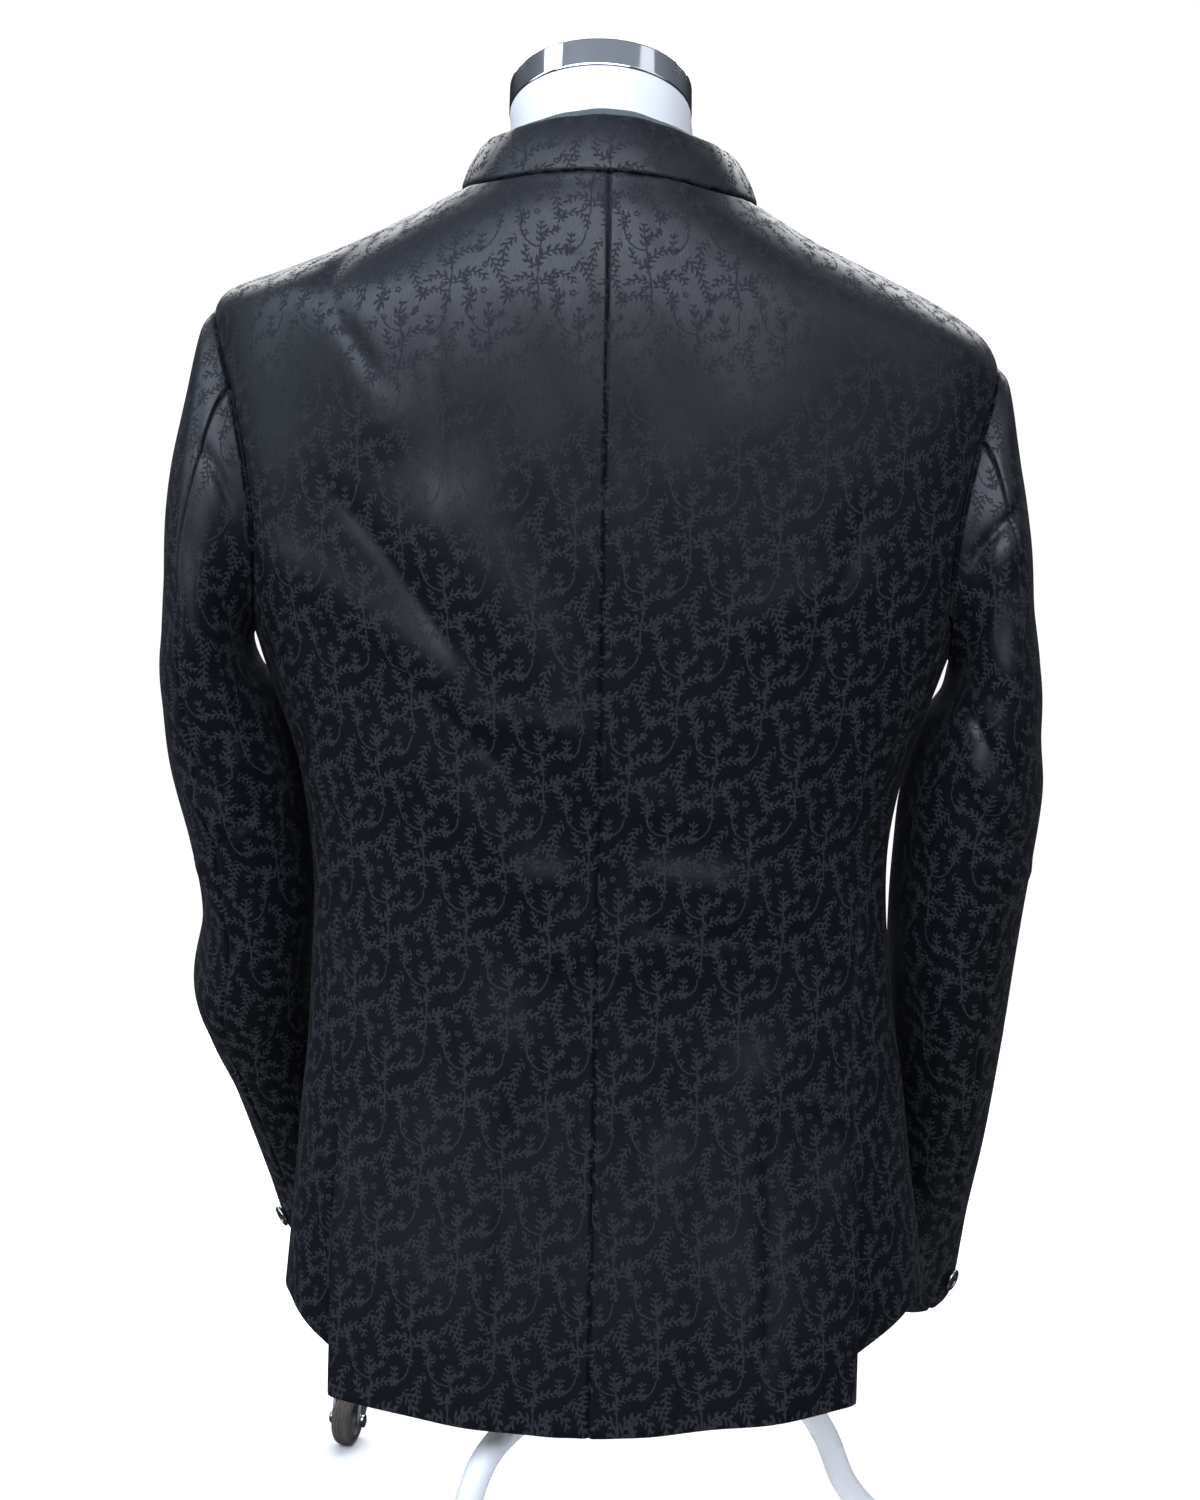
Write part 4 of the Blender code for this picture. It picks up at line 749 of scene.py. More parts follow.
def flatten(points, rounds=30):
    # lays a grid of points flat with as little stretch as it can, as a grid of (across, along), and its area
    rows, columns = points.shape[:2]
    index = np.arange(rows * columns).reshape(rows, columns)
    a, b, c, d = cells(index)
    corners = np.concatenate([np.stack([a, b, c], 1), np.stack([a, c, d], 1)])
    spot = points.reshape(-1, 3)[corners]
    first, second = spot[:, 1] - spot[:, 0], spot[:, 2] - spot[:, 0]
    direction = unit(first)
    local = np.zeros((len(corners), 3, 2))
    local[:, 1, 0] = np.linalg.norm(first, axis=1)
    local[:, 2, 0] = (second * direction).sum(1)
    local[:, 2, 1] = np.linalg.norm(second - direction * local[:, 2, :1], axis=1)
    pull = np.zeros((index.size, index.size))
    sides = []
    for k in range(3):
        i, j = (k + 1) % 3, (k + 2) % 3
        p, q = local[:, i] - local[:, k], local[:, j] - local[:, k]
        twice = np.abs(p[:, 0] * q[:, 1] - p[:, 1] * q[:, 0])
        weight = np.maximum((p * q).sum(1) / np.maximum(twice, 1e-12), 0.05)
        for m, n, sign in ((i, i, 1.0), (j, j, 1.0), (i, j, -1.0), (j, i, -1.0)):
            np.add.at(pull, (corners[:, m], corners[:, n]), sign * weight)
        sides.append((i, j, weight, local[:, i] - local[:, j]))
    pull[0, 0] += 1.0
    solve = np.linalg.inv(pull)
    flat = np.zeros((rows, columns, 2))
    flat[:, 1:, 0] = np.cumsum(np.linalg.norm(np.diff(points, axis=1), axis=2), axis=1)
    flat[1:, :, 1] = np.cumsum(np.linalg.norm(np.diff(points, axis=0), axis=2), axis=0)
    flat = flat.reshape(-1, 2)
    for _ in range(rounds):
        spread = np.zeros((len(corners), 2, 2))
        for i, j, weight, edge in sides:
            gap = flat[corners[:, i]] - flat[corners[:, j]]
            spread += weight[:, None, None] * edge[:, :, None] * gap[:, None, :]
        angle = np.arctan2(spread[:, 0, 1] - spread[:, 1, 0], spread[:, 0, 0] + spread[:, 1, 1])
        cosine, sine = np.cos(angle), np.sin(angle)
        wanted = np.zeros(flat.shape)
        for i, j, weight, edge in sides:
            turned = [cosine * edge[:, 0] - sine * edge[:, 1], sine * edge[:, 0] + cosine * edge[:, 1]]
            turned = np.stack(turned, 1) * weight[:, None]
            np.add.at(wanted, corners[:, i], turned)
            np.add.at(wanted, corners[:, j], -turned)
        flat = solve @ wanted
    start, first, second = (flat[corners[:, k]] for k in range(3))
    area = 0.5 * np.abs(np.cross(first - start, second - start)).sum()
    return flat.reshape(rows, columns, 2), float(area)


def spaced(length, cell):
    # places from 0 to length, close together at both ends, where the edges are finished
    near = np.array([0.0, 0.0005, 0.0011, 0.0018, 0.0027, 0.0040, 0.0060, 0.0090])
    near = near * min(1.0, length / (3.0 * near[-1]))
    end = length - near[::-1]
    count = max(int(round((end[0] - near[-1]) / cell)), 1)
    return np.concatenate([near, np.linspace(near[-1], end[0], count + 1)[1:-1], end])


edgeFinish = {"sink": 0.0016, "sinkInside": 0.0006, "sinkWidth": 0.0015, "swell": 0.0003,
              "swellPlace": 0.0050, "swellWidth": 0.0028, "thin": 0.00075, "thinWidth": 0.0006}


def edgeShape(distance, finish, values=edgeFinish):
    # how far the outer and inner faces move at a sewn edge, which sinks, or a folded one, which is thinner
    if finish == "seam":
        sink = np.exp(-((distance / values["sinkWidth"]) ** 2))
        swell = np.exp(-(((distance - values["swellPlace"]) / values["swellWidth"]) ** 2))
        return values["swell"] * swell - values["sink"] * sink, -values["sinkInside"] * sink
    ease = values["thin"] * np.exp(-distance / values["thinWidth"])
    return -ease, ease


def gridObject(name, outer, inner, cut, material):
    # two faces and the rim between them, as one closed mesh
    rows, columns = outer.shape[:2]
    count = rows * columns
    index = np.arange(count).reshape(rows, columns)
    a, b, c, d = cells(index)
    faces = [np.stack([a, b, c, d], 1), np.stack([a, d, c, b], 1) + count]
    rim = np.concatenate([index[0, :-1], index[:-1, -1], index[-1, :0:-1], index[:0:-1, 0]])
    after = np.roll(rim, -1)
    faces.append(np.stack([after, rim, rim + count, after + count], 1))
    faces = np.concatenate(faces)
    points = np.concatenate([outer.reshape(-1, 3), inner.reshape(-1, 3)]) + pole
    mesh = newMesh(name, points.tolist(), faces.tolist())
    layer = mesh.uv_layers.new(name="cut")
    flat = np.concatenate([cut.reshape(-1, 2)] * 2)
    layer.data.foreach_set("uv", flat[faces.ravel()].astype(np.float32).ravel())
    mesh.materials.append(material)
    turnOutwards(mesh)
    mesh.shade_smooth()
    return addObject(name, mesh)


def turnOutwards(mesh):
    work = bmesh.new()
    work.from_mesh(mesh)
    bmesh.ops.recalc_face_normals(work, faces=work.faces)
    if work.calc_volume(signed=True) < 0.0:
        bmesh.ops.reverse_faces(work, faces=work.faces)
    work.to_mesh(mesh)
    work.free()


sheets = []
# each cloth's wall, material and slot, and the size of its cells
cloths = {
    "jacket": {"wall": jacket["wall"], "material": "jacket", "slot": "jacket_cloth", "cell": 0.0042},
    "collar": {"wall": jacket["wall"], "material": "jacket", "slot": "jacket_cloth", "cell": 0.0032},
    "pocket": {"wall": 0.0016, "material": "jacket", "slot": "jacket_cloth", "cell": 0.0036},
    "waistcoat": {"wall": waistcoat["wall"], "material": "waistcoat", "slot": "waistcoat_cloth",
                  "cell": 0.007},
    "waistcoatCollar": {"wall": waistcoat["wall"], "material": "waistcoat", "slot": "waistcoat_cloth",
                        "cell": 0.0032},
}


def layFlat(rough, grain, mirror, shift):
    # the panel's flat cut with its straight grain upright, its width and length, and its area
    flat, area = flatten(rough)
    column = int(round(grain * (rough.shape[1] - 1)))             # the straight grain runs up this column
    way = flat[-1, column] - flat[0, column]
    angle = math.atan2(way[0], way[1])
    flat = flat @ np.array([[math.cos(angle), math.sin(angle)], [-math.sin(angle), math.cos(angle)]])
    flat = flat - flat[-1, column]
    size = [round(float(side), 3) for side in np.ptp(flat.reshape(-1, 2), axis=0)]
    return flat * (-mirror, 1.0) + shift, size, round(area, 4)


def makeCloth(node, surface, edges, kind, coarse, mirror=1.0,
              shift=(0.0, 0.0), grain=0.0):
    # surface(up, across) gives points and normals for shares 0 to 1; edges are the finishes at the bottom,
    # top, start and end; coarse is the grid that is laid flat
    name, cloth = node + "_cloth", cloths[kind]
    up, over = np.linspace(0.0, 1.0, coarse[0]), np.linspace(0.0, 1.0, coarse[1])
    rough, _ = surface(*np.meshgrid(up, over, indexing="ij"))
    flat, size, area = layFlat(rough, grain, mirror, shift)
    widths = np.linalg.norm(np.diff(rough, axis=1), axis=2).sum(1)
    lengths = np.linalg.norm(np.diff(rough, axis=0), axis=2).sum(0)
    rowPlaces = spaced(lengths.max(), cloth["cell"]) / lengths.max()
    line = spaced(widths.max(), cloth["cell"])
    across = []
    for width in np.interp(rowPlaces, up, widths):
        scaled = spaced(width, cloth["cell"] * width / widths.max())
        if len(scaled) != len(line):
            scaled = line * width / widths.max()
        across.append(scaled / width)
    across = np.array(across)
    upAll = np.repeat(rowPlaces[:, None], across.shape[1], 1)
    points, normals = surface(upAll, across)
    columnLength = np.interp(across, over, lengths)
    rowWidth = np.interp(rowPlaces, up, widths)[:, None]
    distances = (upAll * columnLength, (1.0 - upAll) * columnLength, across * rowWidth,
                 (1.0 - across) * rowWidth)
    outward, inward = (sum(moves) for moves in zip(*map(edgeShape, distances, edges)))
    outer = points + normals * outward[..., None]
    inner = points + normals * (inward - cloth["wall"])[..., None]
    cut = readTable(flat, rowPlaces * (coarse[0] - 1))
    cut = np.stack([readTable(row, places * (coarse[1] - 1)) for row, places in zip(cut, across)])
    piece = gridObject(name, outer, inner, cut, materials[cloth["material"]])
    declare(piece, standBody, [node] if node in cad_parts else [])
    sheets.append((name, *size, area, len(piece.data.polygons) * 2))


# jacket body

def flapPlace(points, level, turn):
    # below the vents the back hangs away from the body and lower
    t = np.maximum(1.0 - level / jacket["vent"], 0.0)
    centre = np.cos(np.radians(turn)) ** 2
    drop = jacket["dropCorner"] + (jacket["dropCentre"] - jacket["dropCorner"]) * centre
    moved = points.copy()
    moved[..., 1] += jacket["kick"] * smoothStep(t) * (0.4 + 0.6 * t)
    moved[..., 2] -= drop * t * t
    return moved


def backSurface(side):
    share, levelUp, edge = panelPath(front=False)

    def surface(up, across):
        level = np.interp(up, share, levelUp)
        turn = side * np.interp(up, share, edge) * across
        points, normals = jacketSkin(level, turn)
        return flapPlace(points, level, turn), normals
    return surface


def sideSurface(side):
    def surface(up, across):
        phi = jacket["join"] + (360.0 - 2.0 * jacket["join"]) * across
        top = armholeLevel(phi)
        level = top * up
        low = seamTurn(level, 10) * (1.0 - across) + seamTurn(level, 11) * across
        end = seamTurn(top, 10) * (1.0 - across) + seamTurn(top, 11) * across
        turn = low + (armholeTurn(phi) - end) * up**3
        points, normals = jacketSkin(level, side * turn)
        corner = np.maximum(1.0 - 3.5 * across, 0.0) * np.maximum(1.0 - level, 0.0) ** 2
        points[..., 2] -= jacket["sideDrop"] * corner
        return points, normals
    return surface


def lapDip(level, over=1.0):
    # the neckline dips where the fronts lap over each other
    return level - jacket["lapDip"] * over * (level / neckLevel) ** 12


def lappedTurn(share, levelUp, edge, up, across, side, lift):
    # a front's level, turn and lift: towards the middle the left front lies over the right
    level, start = np.interp(up, share, levelUp), np.interp(up, share, edge)
    turn = start + (180.0 + jacket["overlap"] - start) * across
    over = smoothStep((turn - 160.0) / (20.0 - jacket["overlap"]))
    return lapDip(level, over), side * turn, lift * over


def frontSurface(side, skin=jacketSkin, values=jacket, **path):
    line = panelPath(True, values, **path)
    lift = values["wall"] + jacket["layerGap"] if side > 0 else 0.0
    return lambda up, across: skin(*lappedTurn(*line, up, across, side, lift))


sides = ((1.0, "left"), (-1.0, "right"))
sewn = ("fold", "seam", "seam", "seam")
for side, word in sides:
    makeCloth("back_" + word, backSurface(side), sewn, "jacket", (31, 13), mirror=side, shift=(0.009, 0.0))
    makeCloth("side_" + word, sideSurface(side), sewn, "jacket", (21, 9), mirror=side,
              shift=(0.05 * side, 0.031), grain=0.5)
    makeCloth("front_" + word, frontSurface(side), ("fold", "seam", "seam", "fold"), "jacket", (31, 15),
              mirror=-side, shift=(0.012, 0.0), grain=1.0)
print("jacket body cut")


# stand collars: the ring of the top edge, then how it stands
collars = {"halfWidth": 0.0755, "backY": 0.078, "frontY": -0.052, "heightBack": 0.034, "heightSide": 0.030,
           "heightFront": 0.036, "frontDip": 0.008, "lean": 0.6, "bulge": 0.0025, "ripple": 0.00035,
           "seamGap": 0.0004, "waistcoatIn": 0.0014, "waistcoatInset": 0.0034, "waistcoatShows": 0.0038,
           "tuckShare": 0.05, "tuckIn": 0.0012, "tuckDown": 0.0020}


def waistcoatSkin(level, turn, out=0.0):
    normal = bodyNormal(level, turn)
    inward = jacket["wall"] + jacket["layerGap"] + underGap(level, turn) - out
    return bodyPoint(level, turn) - normal * inward[..., None], normal


def collarTop(turn, inset, shows):
    s, c = np.sin(np.radians(turn)), np.cos(np.radians(turn))
    middle = (collars["backY"] + collars["frontY"]) / 2.0
    depth = (collars["backY"] - collars["frontY"]) / 2.0
    shown = shows * np.maximum(c, 0.0) ** 2
    inset = inset + shown * collars["lean"]
    reach = 1.0 / np.hypot(s / (collars["halfWidth"] - inset), c / (depth - inset))
    middleHeight = np.where(c > 0.0, collars["heightBack"], collars["heightFront"])
    height = collars["heightSide"] + (middleHeight - collars["heightSide"]) * c * c
    height = height - collars["frontDip"] * smoothStep((np.abs(turn) - 160.0) / 20.0)
    return np.stack([reach * s, middle + reach * c, bodyPoint(neckLevel, turn)[..., 2] + height + shown], -1)


def collarSurface(under):
    # under is the waistcoat's collar, inside the jacket's
    inset, shows = (collars["waistcoatInset"], collars["waistcoatShows"]) if under else (0.0, 0.0)

    def outOf(foot):
        direction = foot - np.array([0.0, 0.015, 0.0])
        direction[..., 2] = 0.0
        return unit(direction)

    def pointAt(t, turn):
        t, turn = np.broadcast_arrays(t, turn)
        if under:
            foot, _ = waistcoatSkin(np.full(turn.shape, neckLevel), turn)
            foot = foot - outOf(foot) * collars["waistcoatIn"]
        else:
            foot = bodyPoint(neckLevel, turn)
        foot = foot + np.array([0.0, 0.0, collars["seamGap"]])
        top = collarTop(turn, inset, shows)
        t = t[..., None]
        return foot + (top - foot) * t + outOf(foot) * collars["bulge"] * t * (1.0 - t) * 4.0

    def surface(up, across):
        turn = -180.0 + 360.0 * across
        normals = surfaceNormal(pointAt, up, turn, 0.05, -1.0, 1.0)
        share = collars["tuckShare"]                                 # the foot goes in under the neck's edge
        points = pointAt(np.maximum(up - share, 0.0) / (1.0 - share), turn)
        below = np.maximum(1.0 - up / share, 0.0)[..., None]
        down = np.array([0.0, 0.0, collars["tuckDown"]])
        points = points - below * (outOf(points) * collars["tuckIn"] + down)
        ripple = collars["ripple"] * np.sin(turn * 0.21 + 1.0) * np.sin(turn * 0.083) * (0.3 + up)
        return points + normals * ripple[..., None], normals
    return surface


finishes = ("seam", "fold", "fold", "fold")
makeCloth("collar", collarSurface(False), finishes, "collar", (5, 61), grain=0.5, shift=(0.0, 0.02))
makeCloth("waistcoat_collar", collarSurface(True), finishes, "waistcoatCollar", (5, 61), grain=0.5)
print("collars made")


# sleeves: inner point of each ring, fan from upright to level, reach, half depth, pitch
leftRings = np.array([
    (0.2220, 0.000, 0.691, 7.0, 0.202, 0.068, 0.0), (0.2230, 0.000, 0.684, 14.0, 0.158, 0.070, 0.0),
    (0.2235, 0.000, 0.677, 27.0, 0.110, 0.072, 0.0), (0.2220, 0.000, 0.669, 43.0, 0.080, 0.073, 0.0),
    (0.2170, -0.003, 0.660, 64.0, 0.069, 0.073, 0.0), (0.2080, -0.010, 0.646, 90.0, 0.073, 0.073, 2.0),
    (0.1920, -0.026, 0.600, 90.0, 0.087, 0.071, 8.0), (0.1860, -0.040, 0.550, 90.0, 0.0835, 0.068, 12.0),
    (0.1850, -0.052, 0.500, 90.0, 0.078, 0.065, 16.0), (0.1870, -0.072, 0.440, 90.0, 0.086, 0.062, 23.0),
    (0.1790, -0.104, 0.375, 90.0, 0.073, 0.058, 29.0), (0.1640, -0.144, 0.305, 90.0, 0.073, 0.054, 31.0),
    (0.1580, -0.174, 0.255, 90.0, 0.070, 0.052, 31.0),
])
rightRings = np.array([
    (0.2220, 0.000, 0.679, 7.0, 0.187, 0.068, 0.0), (0.2230, 0.000, 0.673, 13.0, 0.149, 0.070, 0.0),
    (0.2235, 0.000, 0.667, 24.0, 0.106, 0.072, 0.0), (0.2220, 0.000, 0.660, 41.0, 0.076, 0.073, 0.0),
    (0.2180, 0.000, 0.651, 64.0, 0.066, 0.073, 0.0), (0.2090, -0.002, 0.636, 90.0, 0.072, 0.073, 2.0),
    (0.1970, -0.008, 0.594, 90.0, 0.088, 0.071, 5.0), (0.1930, -0.018, 0.545, 90.0, 0.089, 0.068, 9.0),
    (0.1930, -0.032, 0.490, 90.0, 0.084, 0.065, 14.0), (0.1970, -0.054, 0.425, 90.0, 0.078, 0.062, 19.0),
    (0.1960, -0.080, 0.355, 90.0, 0.075, 0.058, 20.0), (0.1930, -0.104, 0.285, 90.0, 0.071, 0.055, 18.0),
    (0.1900, -0.122, 0.225, 90.0, 0.069, 0.053, 18.0),
])
sleeve = {"start": 0.0006, "seam": 67.5, "blend": 1.6, "roll": 0.0045, "rollRing": 0.4, "tuck": 0.0036,
          "groove": 0.0016, "grooveWidth": 0.0015, "wander": 0.8}
lastRing = 12.0
perPhi, perRing = 0.00125, 0.052      # metres of cloth for a degree round a sleeve and for a ring along it
# creases of each sleeve: round it in degrees and the ring, for both ends, half width, height, bend, kind
sleeveCreases = {
    "left": [
        (60.0, 0.90, 104.0, 0.35, 0.007, 0.0028, 0.002, "crease"),
        (84.0, 1.60, 84.0, 4.60, 0.020, 0.0024, 0.003, "ridge"),
        (38.0, 5.20, 96.0, 6.20, 0.010, 0.0042, 0.003, "crease"),     # inside of the elbow
        (96.0, 5.60, 140.0, 5.95, 0.010, 0.0040, 0.002, "ridge"),
        (44.0, 5.95, 104.0, 6.75, 0.009, 0.0036, 0.003, "ridge"),
        (120.0, 6.20, 60.0, 6.90, 0.008, 0.0034, -0.003, "crease"),
        (30.0, 7.00, 80.0, 7.90, 0.012, 0.0026, 0.002, "ridge"),
        (20.0, 9.20, 90.0, 9.80, 0.011, 0.0020, 0.002, "crease"),
    ],
    "right": [
        (112.0, 0.25, 44.0, 1.45, 0.007, 0.0040, 0.003, "crease"),    # under the crown
        (104.0, 0.80, 40.0, 2.00, 0.014, 0.0030, 0.002, "ridge"),
        (122.0, 1.60, 74.0, 4.30, 0.018, 0.0024, 0.003, "ridge"),
        (146.0, 3.80, 80.0, 5.50, 0.010, 0.0044, 0.004, "crease"),    # inside of the elbow
        (120.0, 5.20, 56.0, 6.20, 0.010, 0.0036, 0.002, "ridge"),
        (104.0, 5.90, 40.0, 6.60, 0.009, 0.0036, 0.002, "crease"),
        (92.0, 6.65, 22.0, 6.95, 0.009, 0.0034, 0.002, "ridge"),
        (112.0, 7.40, 50.0, 8.40, 0.012, 0.0024, 0.003, "crease"),
        (60.0, 9.00, 100.0, 10.40, 0.014, 0.0020, 0.002, "ridge"),
    ],
}


def ringPoint(side, place, phi):
    rings = leftRings if side > 0 else rightRings
    inX, inY, inZ, fan, reach, halfDepth, pitch = np.moveaxis(readTable(rings, place), -1, 0)
    fan, pitch, angle = np.radians(fan), np.radians(pitch), np.radians(phi)
    outward = reach / 2.0 * (1.0 + np.cos(angle))
    back = halfDepth * np.sin(angle)
    return np.stack([side * (inX + outward * np.sin(fan)), inY + back * np.cos(pitch),
                     inZ + outward * np.cos(fan) - back * np.sin(pitch)], -1)


def sleevePoint(side, place, phi):
    place, phi = np.broadcast_arrays(np.asarray(place, float), np.asarray(phi, float))
    share = np.maximum(1.0 - place / sleeve["blend"], 0.0) ** 2
    round360 = phi % 360.0
    start = bodyPoint(armholeLevel(round360), side * armholeTurn(round360))
    start = start + np.array([side * sleeve["start"], 0.0, 0.0])
    miss = start - ringPoint(side, np.zeros(place.shape), phi)
    points = ringPoint(side, place, phi) + miss * share[..., None]
    top, ring = np.maximum(np.cos(np.radians(phi)), 0.0), sleeve["rollRing"]
    roll = sleeve["roll"] * smoothStep(place / ring) * smoothStep(1.0 - (place - ring)) * top
    return points + roll[..., None] * np.array([side * 0.7, 0.0, 0.7])


def sleeveNormal(side, place, phi):
    return surfaceNormal(lambda u, v: sleevePoint(side, u, v), place, phi, 0.08, -side * 2.0, lastRing)


def sleeveSurface(side, phiStart, phiEnd):
    creases = inMetres(sleeveCreases["left" if side > 0 else "right"], perPhi, perRing)

    def surface(up, across):
        # row 0 is the cuff, so that the map's way up is the body's; the head goes in under the armhole's edge
        hidden = sleeve["tuck"] / perRing
        place = (1.0 - up) * (lastRing + hidden) - hidden
        under, place = np.maximum(-place, 0.0) * perRing, np.maximum(place, 0.0)
        phi = phiStart + (phiEnd - phiStart) * across
        normals = sleeveNormal(side, np.maximum(place, 0.08), phi)
        around = ((phi + 90.0) % 360.0 - 90.0) * perPhi
        along = place * perRing
        small = strokeHeight(around, along, creases) + sleeve["wander"] * clothWander(around + side, along)
        small = small * smoothStep(place / 0.5) * smoothStep((lastRing - place) / 0.3)
        small = small - sleeve["groove"] * np.exp(-(along / sleeve["grooveWidth"]) ** 2)
        points = sleevePoint(side, place, phi) + normals * small[..., None]
        return points - under[..., None] * np.array([side, 0.0, 0.0]), normals
    return surface


for side, word in sides:
    seam = sleeve["seam"]
    makeCloth("sleeve_top_" + word, sleeveSurface(side, -seam, seam), sewn, "jacket", (37, 11), mirror=side,
              grain=0.5, shift=(0.02 * side, 0.013))
    makeCloth("sleeve_under_" + word, sleeveSurface(side, seam, 360.0 - seam), sewn, "jacket", (37, 13),
              mirror=side, grain=0.5, shift=(0.03 * side, 0.027))
print("sleeves made")


# waistcoat, wholly under the jacket but for its collar's edge
waistcoatPath = {"values": waistcoat, "start": waistcoat["hem"], "join": 180.0, "seam": False}


def waistcoatBack(up, across):
    share, levelUp, edge = panelPath(False, **waistcoatPath)
    level = np.interp(up, share, levelUp)
    return waistcoatSkin(level, np.interp(up, share, edge) * (2.0 * across - 1.0))


finishes = ("fold", "seam", "fold", "fold")
makeCloth("waistcoat_back", waistcoatBack, finishes, "waistcoat", (25, 21), grain=0.5)
for side, word in sides:
    front = frontSurface(side, waistcoatSkin, **waistcoatPath)
    makeCloth("waistcoat_front_" + word, front, finishes, "waistcoat", (25, 15), grain=1.0)
print("waistcoat made")


# dress form: a smooth closed body that the clothes rest on, up to the cut of the neck
form = {"bottom": 0.262, "slack": 0.0100, "frontSlack": 0.003, "armholeSlack": 0.012, "neckRadius": 0.0555,
        "neckFoot": (0.0, 0.0145, 0.9365), "neckTop": (0.0065, 0.010, 1.008), "neckTilt": 27.0,
        "bevelShare": 0.985, "bevelHeight": 0.004, "runningGap": 0.0003}
# rings of the neck: share of the way up it and how far it flares there
neckRings = ((0.12, 0.013), (0.30, 0.005), (0.5, 0.001), (1.0, 0.0))
neckTilt = math.radians(form["neckTilt"])
formTurns = np.arange(0.0, 360.0, 2.5) - 180.0
gap = form["runningGap"]


def formRing(level):
    turn = formTurns
    level = np.full(turn.shape, float(level))
    below = smoothStep((jacket["yokeStart"] + 0.3 - level) / 1.1)
    slack = form["slack"] * np.maximum(below, smoothStep(level - neckLevel + 1.0) * 0.4)
    front = form["frontSlack"] * smoothStep((np.abs(turn) - 90.0) / 27.0)
    beside = smoothStep((np.abs(np.sin(np.radians(turn))) - 0.8) / 0.2)
    armhole = form["armholeSlack"] * smoothStep((level - 4.5) / 1.5) * smoothStep(9.0 - level) * beside
    walls = jacket["wall"] + waistcoat["wall"] + 2.0 * jacket["layerGap"]
    inward = walls + underGap(level, turn) + np.maximum(slack, front) + armhole
    return bodyPoint(level, turn) - bodyNormal(level, turn) * inward[:, None]


def neckRing(share, flare):
    foot, top = np.array(form["neckFoot"]), np.array(form["neckTop"])
    radius = form["neckRadius"] + flare
    x, y = radius * np.sin(np.radians(formTurns)), radius * np.cos(np.radians(formTurns))
    return foot + (top - foot) * share + np.stack([x, y * math.cos(neckTilt), y * math.sin(neckTilt)], 1)


def closedRings(name, rings, material):
    # rings from bottom to top, a flat end at each
    rings = np.array(rings)
    count, around = rings.shape[:2]
    index = np.arange(count * around).reshape(count, around)
    after = np.roll(index, -1, axis=1)
    corners = (index[:-1], after[:-1], after[1:], index[1:])
    faces = np.stack([corner.ravel() for corner in corners], 1).tolist()
    points = rings.reshape(-1, 3).tolist()
    for ring in (index[0], index[-1]):
        points.append(np.array([points[i] for i in ring]).mean(0).tolist())
        faces += [(int(a), int(b), len(points) - 1) for a, b in zip(ring, np.roll(ring, -1))]
    mesh = newMesh(name, (np.array(points) + pole).tolist(), faces)
    return smoothPiece(mesh, material, 50.0)


def smoothPiece(mesh, material, sharp):
    turnOutwards(mesh)
    if not mesh.materials:
        mesh.materials.append(material)
    mesh.shade_smooth()
    mesh.set_sharp_from_angle(angle=math.radians(sharp))
    return addObject(mesh.name, mesh)


def makeForm():
    low = formRing(0.45)
    low[:, 2] = form["bottom"]
    lowIn = low.copy()
    lowIn[:, :2] *= form["bevelShare"]                           # a small bevel round the foot
    low[:, 2] += form["bevelHeight"]
    keys = [low] + [formRing(level) for level in np.arange(1.0, neckLevel + 0.01, 0.5)]
    keys = np.array(keys + [neckRing(*row) for row in neckRings])
    rings = readTable(keys, np.arange(0.0, len(keys) - 1 + 0.01, 0.25))
    body = closedRings("form_body", [lowIn, *rings], materials["formWhite"])
    declare(body, standBody, ["form_torso"])
    print("form made:", len(body.data.polygons), "faces")


makeForm()


# turned and swept parts of the cap and the stand

def rounded(profile, radius, steps=4):
    # the corners of a profile, each drawn as a small arc
    points, shares = [Vector(p) for p in profile], [i / steps for i in range(steps + 1)]
    result = [points[0]]
    for before, corner, after in zip(points, points[1:], points[2:]):
        back, ahead = before - corner, after - corner
        reach = min(radius, back.length * 0.45, ahead.length * 0.45)
        a, b = corner + back.normalized() * reach, corner + ahead.normalized() * reach
        result += [a * (1 - t) ** 2 + corner * 2 * t * (1 - t) + b * t * t for t in shares]
    return [tuple(p) for p in result + [points[-1]]]


def turnedMesh(name, profile, steps, closed=False):
    # profile of (radius, height) about Z; closed joins its ends into a ring
    points, rows = [], []
    angles = [2 * math.pi * k / steps for k in range(steps)]
    for radius, height in profile:
        if radius < 1e-6:
            rows.append([len(points)] * steps)
            points.append((0.0, 0.0, height))
        else:
            rows.append(list(range(len(points), len(points) + steps)))
            points += [(radius * math.cos(angle), radius * math.sin(angle), height) for angle in angles]
    if closed:
        rows.append(rows[0])
    faces = []
    for low, high in zip(rows, rows[1:]):
        for k in range(steps):
            after = (k + 1) % steps
            face = list(dict.fromkeys((low[k], low[after], high[after], high[k])))
            if len(face) > 2:
                faces.append(face)
    return newMesh(name, points, faces)


def finishPiece(mesh, matrix, material, body, node, sharp=38.0):
    mesh.transform(Matrix.Translation(Vector(pole)) @ matrix)
    piece = smoothPiece(mesh, materials.get(material), sharp)
    declare(piece, body, [node])


cap = {"radius": 0.0560, "height": 0.019, "edge": 0.0022, "rim": 0.004}
stand = {"poleRadius": 0.0125, "flange": 0.055, "hubTop": 0.215, "hubBottom": 0.168, "hubRadius": 0.030,
         "legTurn": -58.9, "legReach": 0.3663, "legRadius": 0.0085, "socketRadius": 0.0120,
         "socketBottom": 0.0505, "socketTop": 0.0980}
